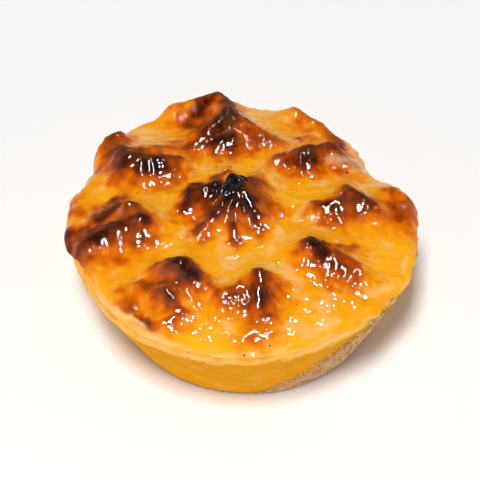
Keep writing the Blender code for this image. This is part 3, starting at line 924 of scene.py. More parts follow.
@dataclass(frozen=True)
class BrownedPaste:
    """Coconut and egg-yolk paste, glazed with syrup and browned under top heat.

    The syrup gives small sharp glints over a soft translucent body, and stands in ripples and drops.
    The sugar runs from yolk yellow through rust to black where it stood nearest the heat.
    """

    stops: tuple = (
        (0.0, Tone.YOLK), (0.12, Tone.AMBER), (0.26, Tone.ORANGE), (0.38, Tone.RUST),
        (0.5, Tone.CHESTNUT), (0.62, Tone.TREACLE), (0.75, Tone.CHAR), (0.88, Tone.SOOT))
    patches: Pattern = Pattern(2.4, 4.0, 0.6)
    patch_shift: float = 0.16
    grain: Pattern = Pattern(0.5, 3.0)
    grain_shift: float = 0.05
    dried_and_sheen_share: float = 0.6
    dull_share: float = 0.1
    dusting: Band = Band(0.62, 1.3, most=0.8)
    roughness: Band = Band(0.5, 0.8, 0.5, 0.4)
    beads: Pattern = Pattern(1.1)
    bead_height: float = 0.05
    ripples: Pattern = Pattern(3.0, 0.0, distortion=0.7)
    ripple_height: float = 0.1
    ripple_patches: Pattern = Pattern(5.0)
    ripple_strength: Band = Band(0.4, 0.62, 0.2)
    drop_size: float = 1.5
    drop_edge: float = 0.36
    drop_height: float = 0.2
    drop_choice: Band = Band(0.45, 0.9)
    drop_patches: Pattern = Pattern(7.0, 0.0)
    drop_strength: Band = Band(0.42, 0.58)
    name: str = "browned_coconut_paste"
    coat: float = 1.0
    film: bool = True

    def material(self) -> bpy.types.Material:
        """Builds the finish from the piece's layers, with the syrup's own normals where it has a film."""
        material = new_material(self.name, {
            "Subsurface Weight": 0.2, "Subsurface Radius": (1.0, 0.45, 0.12), "Subsurface Scale": 1.2 * MM,
            "IOR": 1.45, "Specular IOR Level": 0.0, "Coat Roughness": 0.03, "Coat IOR": 1.35})
        tree = material.node_tree
        place = add_node(tree, "TexCoord").outputs["Object"]
        brown, cream, dried_and_sheen, dull, dust = (add_node(tree, "Attribute", attribute_name=layer).outputs["Fac"]
                                         for layer in ("browning", "cream", "dried_and_sheen", "dull", "dust"))
        patches, grain, beads, ripples, strong, moist = (
            add_node(tree, "TexNoise", {
                "Vector": place, "Scale": 1 / (pattern.size * MM), "Detail": pattern.detail,
                "Roughness": pattern.roughness, "Distortion": pattern.distortion})
            for pattern in (self.patches, self.grain, self.beads, self.ripples, self.ripple_patches,
                            self.drop_patches))
        cells = add_node(tree, "TexVoronoi", {"Vector": place, "Scale": 1 / (self.drop_size * MM)})
        chosen = add_node(tree, "SeparateColor", {0: cells.outputs["Color"]})
        shifted = add_node(tree, "Math", {0: patches, 1: -0.5}, operation="ADD")
        shifted = add_node(tree, "Math", {0: shifted, 1: self.patch_shift, 2: brown},
                           operation="MULTIPLY_ADD")
        speckled = add_node(tree, "Math", {0: grain, 1: -0.5}, operation="ADD")
        speckled = add_node(tree, "Math", {0: speckled, 1: self.grain_shift, 2: shifted},
                            operation="MULTIPLY_ADD")
        dried_and_sheen = add_node(tree, "Math", {0: dried_and_sheen, 1: self.dried_and_sheen_share}, operation="MULTIPLY")
        dust = add_node(tree, "Math", {0: grain, 1: dust}, operation="ADD")
        wet, rough, dust, strong, chosen, moist = (
            add_node(tree, "MapRange", {"Value": value, "From Min": band.low, "From Max": band.high,
                                        "To Min": band.least, "To Max": band.most})
            for value, band in (
                (dull, Band(0.0, 1.0, self.coat, self.dull_share * self.coat)), (shifted, self.roughness),
                (dust, self.dusting), (strong, self.ripple_strength), (chosen, self.drop_choice),
                (moist, self.drop_strength)))
        colour = add_node(tree, "ValToRGB", {"Fac": speckled}, self.stops)
        # The first mix paints grey-brown sheen on slopes facing the back, along with dried fibres.
        for share, tone in ((dried_and_sheen, Tone.DRIED_AND_SHEEN), (cream, Tone.CREAM), (dust, Tone.FLOUR)):
            colour = add_node(tree, "Mix", {0: share, 6: colour, 7: linear(tone)}, data_type="RGBA")
        body = add_node(tree, "Bump", {"Height": beads, "Distance": self.bead_height * MM})
        glaze = add_node(tree, "Math", {0: ripples, 1: strong}, operation="MULTIPLY")
        glaze = add_node(tree, "Bump", {"Height": glaze, "Distance": self.ripple_height * MM})
        drops = add_node(tree, "MapRange", {"Value": cells, "From Max": self.drop_edge, "To Min": 1.0,
                                            "To Max": 0.0}, interpolation_type="SMOOTHSTEP")
        for share in (chosen, moist):
            drops = add_node(tree, "Math", {0: drops, 1: share}, operation="MULTIPLY")
        drops = add_node(tree, "Bump", {"Height": drops, "Distance": self.drop_height * MM,
                                        "Normal": glaze})
        if self.film:
            film = add_node(tree, "Attribute", attribute_name="film").outputs["Vector"]
            film = add_node(tree, "VectorTransform", {"Vector": film}, vector_type="NORMAL",
                            convert_from="OBJECT", convert_to="WORLD")
            feed(glaze, {"Normal": film})
        feed(tree.nodes["Principled BSDF"], {"Base Color": colour, "Roughness": rough, "Normal": body,
                                             "Coat Weight": wet, "Coat Normal": drops})
        return material


@dataclass(frozen=True)
class BakedDough:
    """Egg-yolk tart dough, pressed thin into a floured tin and baked.

    It is smooth and dull with faint rubbed streaks, paler along the cut lip, and darker in a thin
    line round the base. Flour from the tin stays on it as a pale grainy film.
    """

    streaks: Pattern = Pattern(6.0, 4.0, distortion=0.8)
    streak_height: float = 1.4
    mottle: Pattern = Pattern(3.5, 3.0)
    grain: Pattern = Pattern(0.45, 2.0)
    deep: Band = Band(0.45, 0.75, most=0.55)
    light: Band = Band(0.5, 0.8, most=0.4)
    rubbed: Band = Band(1.25, 1.5, most=0.95)
    toast: Band = Band(0.15, 0.6, most=0.75)
    dusting: Band = Band(1.12, 1.42, most=0.85)
    grain_height: float = 0.06

    def material(self) -> bpy.types.Material:
        """Builds the finish from the cup's lip, base and flour layers."""
        material = new_material("baked_pastry", {
            "Subsurface Weight": 0.12, "Subsurface Radius": (1.0, 0.5, 0.2), "Subsurface Scale": 0.8 * MM,
            "IOR": 1.45, "Specular IOR Level": 0.0, "Roughness": 0.55})
        tree = material.node_tree
        place = add_node(tree, "TexCoord").outputs["Object"]
        lip, base, flour = (add_node(tree, "Attribute", attribute_name=layer).outputs["Fac"]
                            for layer in ("lip", "base", "flour"))
        squeeze = (1.0, 1.0, self.streaks.size / self.streak_height)
        squeezed = add_node(tree, "Mapping", {"Vector": place, "Scale": squeeze})
        streaks, mottle, grain = (
            add_node(tree, "TexNoise", {
                "Vector": where, "Scale": 1 / (pattern.size * MM), "Detail": pattern.detail,
                "Distortion": pattern.distortion})
            for where, pattern in ((squeezed, self.streaks), (place, self.mottle), (place, self.grain)))
        rubbed = add_node(tree, "Math", {0: streaks, 1: lip}, operation="ADD")
        dust = add_node(tree, "Math", {0: grain, 1: flour}, operation="ADD")
        deep, light, rubbed, toast, dust = (
            add_node(tree, "MapRange", {"Value": value, "From Min": band.low, "From Max": band.high,
                                        "To Max": band.most})
            for value, band in ((streaks, self.deep), (mottle, self.light), (rubbed, self.rubbed),
                                (flour, self.toast), (dust, self.dusting)))
        light = add_node(tree, "Math", {0: light, 1: rubbed}, operation="MAXIMUM")
        dough = linear(Tone.DOUGH)
        for share, tone in ((deep, Tone.DOUGH_DEEP), (light, Tone.DOUGH_PALE), (base, Tone.BASE_LINE_DARK),
                            (toast, Tone.TOASTED), (dust, Tone.FLOUR)):
            dough = add_node(tree, "Mix", {0: share, 6: dough, 7: linear(tone)}, data_type="RGBA")
        bump = add_node(tree, "Bump", {"Height": grain, "Distance": self.grain_height * MM})
        feed(tree.nodes["Principled BSDF"], {"Base Color": dough, "Normal": bump})
        return material


@dataclass(frozen=True)
class CoconutFilling:
    """The piped coconut paste: its lumpy top on a fine grid, closed down into the cup."""

    top: PipedTop = PipedTop()
    side: int = 304
    roll_rows: int = 10
    clearance: float = 0.3
    skirt_start: float = -0.2
    shreds: ShredRelief = ShredRelief()
    swell: Noise = Noise(11, 6.0, 2)
    swell_height: float = 0.14
    crest_swell: float = 0.16
    lumps: Noise = Noise(12, 1.3)
    lump_height: float = 0.06
    flank_lump_height: float = 0.08
    fold_height: float = 0.16
    flute_height: float = 0.34
    crumple: Noise = Noise(13, 1.1, 2)
    crumple_height: float = 0.35
    waver: Noise = Noise(18, 4.0, 2)
    waver_circle: float = 30.0
    waver_reach: float = 0.7
    waver_out: float = 0.25
    bend: Noise = Noise(17, 5.0, 2)
    bend_reach: float = 0.55
    wander: Noise = Noise(14, 3.4, 3)
    wander_reach: float = 0.8
    drift: Noise = Noise(15, 3.2, 2)
    drift_share: float = 0.2
    cream: Noise = Noise(16, 1.9, 3)
    cream_share: float = 0.6
    film: Noise = Noise(19, 1.6)
    film_lump_height: float = 0.14
    film_fold_height: float = 0.32
    run_height: float = 0.24
    flank_band: tuple[float, float] = (0.08, 0.35)
    char_band: tuple[float, float] = (0.85, 1.15)
    fold_stretch: tuple[float, float, float] = (0.3, 0.7, 0.3)
    film_stretch: tuple[float, float, float] = (0.45, 1.1, 0.45)
    cream_stretch: tuple[float, float, float] = (0.3, 0.3, 1.3)
    charred: float = 1.5
    bare_rim: tuple[Swell, ...] = (Swell(228, 1.5, 24), Swell(272, 0.55, 30))

    def rings(self) -> tuple[Array, Array]:
        """Maps a square grid onto the disc, ring on ring.

        Returns:
            Each grid point's ring, from 0 in the middle to 1 at the edge, and its azimuth. The ring is
            the larger of the point's two distances from the square's middle, and the azimuth is 45
            degrees times the ratio of the two, counted from the side that the point is nearest to.
        """
        line = np.linspace(-1, 1, self.side + 1)
        b, a = np.meshgrid(line, line)
        wide = np.abs(a) > np.abs(b)
        larger = np.where(wide, a, b)
        smaller = np.where(wide, b, a)
        ratio = smaller / np.where(larger == 0, 1, larger)
        azimuth = np.where(wide, 45 * ratio, 90 - 45 * ratio) + np.where(larger < 0, 180, 0)
        return np.abs(larger), azimuth

    def plan(self) -> tuple[Array, Array]:
        """Where the grid's points lie seen from above, crowded towards the rolled edge.

        Returns:
            The places, with x and y on the last axis, and the wavering outline's radius at their azimuth.
            Inside the roll the distance grows evenly, and over it as sin(t), which crowds the points.
        """
        ring, azimuth = self.rings()
        circle = self.waver_circle * turning(azimuth)
        circle = np.concatenate([circle, np.zeros(azimuth.shape + (1,))], axis=-1)
        outline = self.top.radius_at(azimuth) + self.waver_out + self.waver_reach * self.waver.at(circle)
        flat_share = 1 - 2 * self.roll_rows / self.side
        t = np.clip((ring - flat_share) / (1 - flat_share), 0, 1)
        rolled = outline - self.top.roll + self.top.roll * np.sin(t * np.pi / 2)
        flat = (outline - self.top.roll) * ring / flat_share
        out = np.where(ring > flat_share, rolled, flat)
        return out[..., None] * turning(azimuth), outline

    @cached_property
    def surface(self) -> tuple[Array, dict[str, Array], Array]:
        """The finished top, worked out once.

        Returns:
            The grid's points, the layers that colour them, and the syrup film's own normals. Points
            move along the smooth top's normal by the relief, which fades out towards the edge.
        """
        plan, outline = self.plan()
        flat = np.append(plan, np.zeros(outline.shape + (1,)), axis=-1)
        bend = np.stack([self.bend.at(flat), self.bend.at(flat, 70)], axis=-1)
        crests = self.top.crests(plan + self.bend_reach * bend)
        crests = crests * (1 + self.crest_swell * self.swell.at(flat, 30))
        height = self.top.height_at(plan, crests, outline)
        smooth = np.append(plan, height[..., None], axis=-1)
        normals = surface_normals(smooth)
        inside = outline - np.hypot(plan[..., 0], plan[..., 1])
        wander = np.stack([self.wander.at(flat), self.wander.at(flat, 50)], axis=-1)
        near = plan + self.wander_reach * wander
        brown = self.top.browning(near)
        brown = brown + self.drift_share * self.drift.at(flat) * smooth_step(brown, 0.05, 0.4)
        relief, film = self.reliefs(smooth, brown)
        relief = relief * (0.3 + 0.7 * smooth_step(inside, 0, 2.0))
        film = film * (1 - 0.8 * smooth_step(normals[..., 1], 0.05, 0.35))
        layers = self.tones(near, smooth, normals[..., 1], inside, brown)
        film = surface_normals(smooth + normals * film[..., None])
        return smooth + normals * relief[..., None], layers, film

    def tones(self, near: Array, smooth: Array, back: Array, inside: Array,
              brown: Array) -> dict[str, Array]:
        """Works out the layers that colour the top.

        Args:
            near: the places seen from above, moved about by noise so that edges wander.
            smooth: the smooth top.
            back: how far it faces the back, from -1 to 1.
            inside: how far inside the outline each place lies.
            brown: the browning.

        Returns:
            The browning, and the shares of cream, flour dust, dried fibres with painted sheen, and dull
            syrup. The painted sheen is a grey-brown tint on browned slopes that face the back, in place of
            the bright room's reflection. Cream lies in streaks on what isn't browned, and along the bare
            rim on the left and the front.
        """
        flat = smooth * (1, 1, 0)
        pale = self.cream_share * smooth_step(self.cream.at(smooth * self.cream_stretch), 0.05, 0.6)
        pale = pale * (1 - smooth_step(brown, 0.1, 0.35))
        azimuth = np.degrees(np.arctan2(smooth[..., 1], smooth[..., 0]))
        bare = sum_of_swells(azimuth, self.bare_rim)
        rim = 1 - smooth_step(inside + 0.4 * self.drift.at(flat, 20), bare - 0.3, bare + 0.3)
        along = np.stack([0.16 * azimuth, 1.5 * inside, np.zeros_like(inside)], axis=-1)
        streaks = 0.3 + 0.7 * smooth_step(self.cream.at(along), -0.35, 0.3)
        cream = np.maximum(pale, rim * streaks * smooth_step(bare, 0.1, 0.6))
        brown = brown * smooth_step(inside, bare - 1.2, bare)
        # Painted sheen: browned slopes facing the back get a grey-brown tint in place of the room's
        # reflection.
        dried_and_sheen = smooth_step(back, -0.15, 0.3) * smooth_step(brown, 0.3, 0.6)
        dried_and_sheen = np.maximum(dried_and_sheen, self.top.traced(DRIED_AND_SHEEN_TRACES, near))
        dull = np.maximum(dried_and_sheen, 0.6 * (1 - smooth_step(inside, 0.5, 3.0)))
        dull = np.maximum(dull, self.top.traced(SOAKINGS, near))
        return {"browning": np.clip(brown / self.charred, 0, 1), "cream": cream,
                "dust": self.top.traced(DUSTINGS, near), "dried_and_sheen": dried_and_sheen, "dull": dull}

    def reliefs(self, smooth: Array, brown: Array) -> tuple[Array, Array]:
        """How far the finished top, and the syrup film on it, stand over the smooth top, in millimetres.

        Args:
            smooth: the smooth top.
            brown: the browning.

        Returns:
            The top's relief: broad swells, wrinkles down the browned flanks, lumps, folds that lie across
            the flats, coconut shreds, and crumpled noise, folded to sharp creases, on what charred. Then
            the film's, which fills the finest of that: swells, wrinkles, rounded lumps, folds, and runs.
        """
        plan = smooth[..., :2]
        flank = smooth_step(brown, *self.flank_band)
        char = smooth_step(brown, *self.char_band)
        shared = self.swell_height * self.swell.at(smooth)
        shared += self.flute_height * flank * self.top.flutes(plan)
        relief = shared + (self.lump_height + self.flank_lump_height * flank) * self.lumps.at(smooth)
        relief += self.fold_height * (1 - flank) * self.lumps.at(smooth * self.fold_stretch)
        patches = 0.35 + 0.65 * smooth_step(self.swell.at(smooth, 90), -0.3, 0.4)
        relief += patches * self.shreds.read(self.shreds.chart(), plan) * (1 - 0.7 * char)
        relief += self.crumple_height * char * np.abs(self.crumple.at(smooth))
        film = shared + self.film_lump_height * flank * self.film.at(smooth)
        film += self.film_fold_height * (1 - flank) * self.film.at(smooth * self.film_stretch)
        film += self.run_height * self.top.traced(RUNS, plan)
        return relief, film

    def places_at(self, azimuth: Array, out: Array) -> Array:
        """The points of the finished top nearest to some places seen from above."""
        grid = self.surface[0].reshape(-1, 3)
        plan = out[:, None] * turning(azimuth)
        nearest = [np.argmin(np.hypot(*(grid[:, :2] - place).T)) for place in plan]
        return grid[nearest]

    def rim_loop(self) -> Array:
        """The numbers of the grid's edge points, in order to the left round the tart."""
        numbers = np.arange((self.side + 1) ** 2).reshape(self.side + 1, self.side + 1)
        sides = (numbers[-1, :-1], numbers[:0:-1, -1], numbers[0, :0:-1], numbers[:-1, 0])
        return np.concatenate(sides)

    def build(self, paste: bpy.types.Material) -> bpy.types.Object:
        """Closes the top with a skirt down into the cup, and stands the filling up."""
        grid, layers, film = self.surface
        points = grid.reshape(-1, 3)
        loop = self.rim_loop()
        edge = points[loop]
        azimuth = np.degrees(np.arctan2(edge[:, 1], edge[:, 0]))
        cup = self.top.cup
        slope = (cup.rim_radius - cup.base_radius) / cup.height
        bottom = cup.floor + self.clearance
        rings = [edge]
        for out, height in ((cup.rim_radius - cup.wall, self.skirt_start),
                            (cup.base_radius + slope * bottom - cup.wall, bottom - cup.height)):
            plan = out * turning(azimuth)
            rings.append(cup.shaped(np.column_stack([plan, np.full(len(plan), height)])))
        skirt = np.concatenate(rings[1:])
        count, around = len(points), len(loop)
        numbers = np.concatenate([loop, count + np.arange(len(skirt))])
        walls = numbers[sheet_faces(len(rings), around, closed=True)][:, ::-1]
        last = count + len(skirt) - around + np.arange(around)
        cap = np.column_stack([np.roll(last, -1), last, np.full(around, count + len(skirt))])
        points = np.concatenate([points, skirt, [rings[-1].mean(axis=0)]])
        below = len(points) - count
        outward = turning(np.append(np.tile(azimuth, len(rings) - 1), 0))
        outward = np.column_stack([outward, np.zeros(below)])
        layers = {name: np.append(values, np.zeros(below)) for name, values in layers.items()}
        layers["film"] = np.concatenate([film.reshape(-1, 3), outward])
        faces = [sheet_faces(self.side + 1, self.side + 1)[:, ::-1], walls, cap]
        piece = Piece("coconut_filling_top", points, faces, Slot.PASTE, self.top, layers)
        return piece.stand_up(paste, replaces="coconut_filling")


@dataclass(frozen=True)
class CharredTail:
    """The star's tail, pulled off the nozzle: it curls over to the front and is burnt black and crumpled.

    It is a tube along a Bezier curve, and its radius blends from one control radius to the next.
    """

    controls: tuple[tuple[float, float, float], ...] = (
        (0.9, 4.9, 7.0), (0.5, 5.1, 9.4), (-0.5, 4.6, 10.5), (-2.0, 2.8, 10.5), (-3.1, 0.9, 9.9),
        (-3.9, -0.6, 8.4))
    radii: tuple[float, ...] = (1.5, 1.8, 2.2, 2.1, 1.0, 0.02)
    rows: int = 130
    around: int = 150
    swollen: float = 0.5
    folds: Noise = Noise(31, 3.2)
    fold_depth: float = 1.8
    grit: Noise = Noise(32, 0.8, 2)
    grit_height: float = 0.14
    full_radius: float = 1.0
    seed: int = 33
    cuts: int = 40
    cut_rows: int = 90
    cut_share: float = 1.02
    cut_reach: float = 2.2

    def curve(self, t: Array) -> Array:
        """The Bezier curve through space: the binomial blend of the control points at each t."""
        order = len(self.controls) - 1
        total = np.zeros((len(t), 3))
        for index, control in enumerate(self.controls):
            share = math.comb(order, index) * t ** index * (1 - t) ** (order - index)
            total += share[:, None] * np.array(control)
        return total

    def faceted(self, points: Array, middle: Array, radius: Array) -> Array:
        """Cuts flat facets into the crumpled tube.

        Args:
            points: the tube's points, one row for each place along it.
            middle: the places along its axis.
            radius: the tube's radius at each.

        Returns:
            The points, pressed back onto planes that face random ways. A plane stands off a random
            place on the axis by a share of the radius there, and fades out along the tube.
        """
        random = np.random.default_rng(self.seed)
        for _ in range(self.cuts):
            at = random.integers(0, self.cut_rows)
            way = random.normal(size=3)
            way /= np.linalg.norm(way)
            over = (points - middle[at]) @ way - self.cut_share * radius[at]
            apart = np.linalg.norm(middle - middle[at], axis=1)
            near = 1 - smooth_step(apart, self.cut_reach / 2, self.cut_reach)
            points = points - (np.maximum(over, 0) * near[:, None])[..., None] * way
        return points

    def build(self, paste: bpy.types.Material) -> bpy.types.Object:
        """Makes the tube, crumples it along its radii, cuts its facets and closes both ends."""
        t = np.linspace(0, 1, self.rows)
        middle = self.curve(t)
        along = np.gradient(middle, axis=0)
        along /= np.linalg.norm(along, axis=1, keepdims=True)
        side = np.array([1.0, -1.0, 0.0]) / np.sqrt(2)
        side = side - (along @ side)[:, None] * along
        side /= np.linalg.norm(side, axis=1, keepdims=True)
        over = np.cross(side, along)
        radius = np.interp(t, np.linspace(0, 1, len(self.radii)), self.radii)
        angle = (np.arange(self.around) * 2 * np.pi / self.around)[None, :, None]
        outward = np.cos(angle) * side[:, None] + np.sin(angle) * over[:, None]
        smooth = middle[:, None] + radius[:, None, None] * outward
        crumple = self.swollen - self.fold_depth * np.abs(self.folds.at(smooth))
        crumple += self.grit_height * self.grit.at(smooth)
        points = smooth + outward * (crumple * np.minimum(radius, self.full_radius)[:, None])[..., None]
        points, faces = closed_tube(self.faceted(points, middle, radius))
        faces = [part[:, ::-1] for part in faces]
        layers = {"browning": np.ones(len(points))}
        return Piece("charred_tail", points, faces, Slot.PASTE, PipedTop(), layers).stand_up(paste)


def pebbles(centres: Array, radii: Array, seed: int, detail: int) -> tuple[Array, Array]:
    """Makes many small rough pebbles.

    Args:
        centres: the middle of each.
        radii: the radius of each along x, y and z.
        seed: for their roughness.
        detail: how many times the twenty-sided ball is divided, counted from 1.

    Returns:
        All their points and faces. A pebble's point lies out from its middle by the radii times a
        random share between 0.75 and 1.1.
    """
    ball = bmesh.new()
    bmesh.ops.create_icosphere(ball, subdivisions=detail, radius=1.0)
    unit = np.array([corner.co[:] for corner in ball.verts])
    sides = np.array([[corner.index for corner in face.verts] for face in ball.faces])
    ball.free()
    share = np.random.default_rng(seed).uniform(*PEBBLE_ROUGHNESS, (len(centres), len(unit), 1))
    points = centres[:, None] + radii[:, None] * unit[None] * share
    faces = sides[None] + len(unit) * np.arange(len(centres))[:, None, None]
    return points.reshape(-1, 3), faces.reshape(-1, 3)


@dataclass(frozen=True)
class Speck:
    """A burnt speck, or a blister in the glaze, at a place on the top."""

    azimuth: float
    out: float
    radius: float


@dataclass(frozen=True)
class Specks:
    """Small things that sit on the top, each a flattened pebble."""

    name: str
    places: tuple[Speck, ...]
    browning: float
    flatness: float
    detail: int
    top: CoconutFilling
    seed: int = 51

    def build(self, paste: bpy.types.Material) -> bpy.types.Object:
        """Sets each one on the finished top."""
        places = [(speck.azimuth, speck.out, speck.radius) for speck in self.places]
        azimuth, out, radius = np.array(places).T
        radii = radius[:, None] * np.array([1.0, 1.0, self.flatness])
        points, faces = pebbles(self.top.places_at(azimuth, out), radii, self.seed, self.detail)
        layers = {"browning": np.full(len(points), self.browning)}
        return Piece(self.name, points, [faces], Slot.PASTE, self.top.top, layers).stand_up(paste)


# Azimuth, out and radius.
CHAR_SPECKS = each(Speck, (
    (268.5, 35.9, 0.3), (277.1, 34.7, 0.24), (161.8, 23.8, 0.2), (291.6, 17.9, 0.18), (26.3, 25.9, 0.4),
    (92.5, 19.8, 0.42), (250.1, 36, 0.16), (292, 27.2, 0.16), (296, 24, 0.1), (93.5, 20.3, 0.26),
    (24.5, 25.2, 0.2), (306, 25, 0.1)))
BLISTERS = each(Speck, (
    (63.8, 10, 0.7), (105.3, 12.1, 0.5), (55.8, 27.3, 0.9), (99, 13.5, 0.45), (110, 15, 0.5),
    (104, 16.5, 0.4), (50, 15.5, 0.6), (46, 17, 0.5), (358, 28.5, 0.5)))


@dataclass(frozen=True)
class PastryCup:
    """The thin dough cup: a dented, tapered wall with an uneven lip."""

    shape: CupShape = CupShape()
    around: int = 640
    wall_rows: int = 96
    lip_rows: int = 12
    hand: Noise = Noise(21, 9.0, 2)
    hand_depth: float = 0.16
    rub: Noise = Noise(22, 1.6, 2)
    rub_depth: float = 0.03
    crumb: Noise = Noise(23, 0.9, 2)
    crumb_depth: float = 0.2
    crumb_height: float = 0.12
    wave: Noise = Noise(26, 5.0, 2)
    wave_depth: float = 0.25
    wave_height: float = 0.28
    upper_band: tuple[float, float] = (-3.0, -0.4)
    lip_band: tuple[float, float] = (-2.8, -1.2)
    lip_wander: float = 1.6
    base_darkening: float = 0.9
    clot: Noise = Noise(25, 0.8, 2)
    clot_height: float = 0.7
    flour_drift: Noise = Noise(24, 2.2, 3)
    flour_azimuths: tuple[float, ...] = (272, 280, 292, 304, 314, 335, 350, 358)
    flour_middles: tuple[float, ...] = (1.0, 0.95, 0.85, 0.72, 0.55, 0.45, 0.2, 0.1)
    flour_spreads: tuple[float, ...] = (0.05, 0.2, 0.32, 0.5, 0.6, 0.5, 0.2, 0.0)

    def profile(self) -> tuple[Array, Array]:
        """The cup's section, from its underside up the wall, over the lip and down to its floor.

        Returns:
            The section's distances from the axis and heights. The lip is a half circle as wide as the
            wall, and all else is straight runs.
        """
        cup = self.shape
        slope = (cup.rim_radius - cup.base_radius) / cup.height
        half = cup.wall / 2
        up = np.linspace(cup.chamfer - cup.height, -half, self.wall_rows)
        wall = np.column_stack([cup.rim_radius + slope * up, up])
        angle = np.linspace(0, np.pi, self.lip_rows)[1:]
        lip_out = cup.rim_radius - slope * half - half + half * np.cos(angle)
        lip = np.column_stack([lip_out, half * (np.sin(angle) - 1)])
        under = np.array([[cup.base_radius * part, -cup.height] for part in (0.5, 0.8, 0.93)]
                         + [[cup.base_radius - cup.chamfer, -cup.height]])
        inner_foot = [[cup.base_radius + slope * cup.floor - cup.wall, cup.floor - cup.height]]
        section = np.concatenate([under, wall, lip, inner_foot])
        return section[:, 0], section[:, 1]

    def surface(self) -> tuple[Array, dict[str, Array]]:
        """Turns the section round and works it over.

        Returns:
            A grid of points, one row for each place on the section, and the lip, base and flour
            layers. The wall moves in and out by broad hand dents and fine rubbed noise.
        """
        cup = self.shape
        out, height = self.profile()
        azimuth = np.arange(self.around) * 360 / self.around
        plan = out[:, None, None] * turning(azimuth)[None]
        tall = np.broadcast_to(height[:, None, None], plan.shape[:2] + (1,))
        points = cup.shaped(np.concatenate([plan, tall], axis=-1))
        outward = np.concatenate([turning(azimuth), np.zeros((self.around, 1))], axis=-1)[None]
        height = height[:, None]
        outer = np.arange(len(out))[:, None] < len(out) - 2
        wall = smooth_step(height, -cup.height, 1.5 - cup.height) * outer
        upper = smooth_step(height, *self.upper_band) * outer
        work = self.hand_depth * self.hand.at(points) * wall + self.rub_depth * self.rub.at(points) * wall
        uneven = self.crumb_depth * self.crumb.at(points) + self.wave_depth * self.wave.at(points, 15)
        work += uneven * upper
        points = points + outward * work[..., None]
        lift = self.wave_height * self.wave.at(points) + self.crumb_height * self.crumb.at(points, 40)
        points[..., 2] += lift * upper
        flour = self.flour(azimuth[None], -height / cup.height, points)
        clots = self.clot.at(points) * self.clot_height * flour * wall
        points = points + outward * clots[..., None]
        lip = smooth_step(height + self.lip_wander * self.wave.at(points * (1, 1, 3)), *self.lip_band)
        # A thin darker line round the base, on the bottom bevel.
        base = np.broadcast_to(smooth_step(-height, cup.height - 0.8, cup.height - 0.3), work.shape)
        return points, {"lip": lip, "base": self.base_darkening * base, "flour": flour}

    def flour(self, azimuth: Array, down: Array, points: Array) -> Array:
        """How much flour stayed on the wall: a slanting band on the front right, torn up by noise.

        Args:
            azimuth: where round the cup.
            down: how far down the wall, from 0 at the lip to 1 at the base.
            points: the places themselves, for the noise.

        Returns:
            Amounts from 0 to 1. The band's middle and half width run along the azimuth in straight steps.
        """
        middle = np.interp(azimuth, self.flour_azimuths, self.flour_middles)
        spread = np.interp(azimuth, self.flour_azimuths, self.flour_spreads)
        band = np.exp(-((down - middle) / np.maximum(spread, 0.02)) ** 4) * (spread > 0)
        return np.clip(band * (0.75 + 0.5 * self.flour_drift.at(points)), 0, 1)

    def build(self, dough: bpy.types.Material) -> bpy.types.Object:
        """Closes the section's two ends and stands the cup up."""
        grid, layers = self.surface()
        points, faces = closed_tube(grid)
        layers = {name: np.append(values, np.zeros(2)) for name, values in layers.items()}
        piece = Piece("pastry_cup_wall", points, faces, Slot.PASTRY, PipedTop(), layers)
        return piece.stand_up(dough, replaces="pastry_case")


@dataclass(frozen=True)
class FlourGrains:
    """Clots of baking flour and dough crumbs that stuck to the wall: tiny matte pebbles."""

    cup: PastryCup = PastryCup()
    seed: int = 71
    tries: int = 30000
    azimuths: tuple[float, float] = (270, 360)
    downs: tuple[float, float] = (0.02, 0.98)
    radii: tuple[float, float] = (0.1, 0.34)
    stretch: tuple[float, float] = (0.7, 1.2)
    density: float = 0.35

    def material(self) -> bpy.types.Material:
        """Builds the finish: dry flour, an even pale grey-pink with no shine."""
        return new_material("baking_flour", {"Base Color": linear(Tone.FLOUR), "Roughness": 0.9,
                                             "Specular IOR Level": 0.1})

    def build(self) -> bpy.types.Object:
        """Scatters the grains where the cup's flour layer is strong, half sunk in the wall."""
        random = np.random.default_rng(self.seed)
        cup = self.cup.shape
        azimuth = random.uniform(*self.azimuths, self.tries)
        down = random.uniform(*self.downs, self.tries)
        plan = (cup.rim_radius + (cup.base_radius - cup.rim_radius) * down)[:, None] * turning(azimuth)
        points = cup.shaped(np.column_stack([plan, -cup.height * down]))
        kept = random.uniform(0, 1, self.tries) < self.density * self.cup.flour(azimuth, down, points) ** 2
        centres = points[kept]
        sizes = random.uniform(*self.radii, (len(centres), 1))
        radii = sizes * random.uniform(*self.stretch, (len(centres), 3))
        grains, faces = pebbles(centres, radii, self.seed, 1)
        LOG.info("flour_grains: %d grains", len(centres))
        return Piece("flour_grains", grains, [faces], Slot.PASTRY).stand_up(self.material())


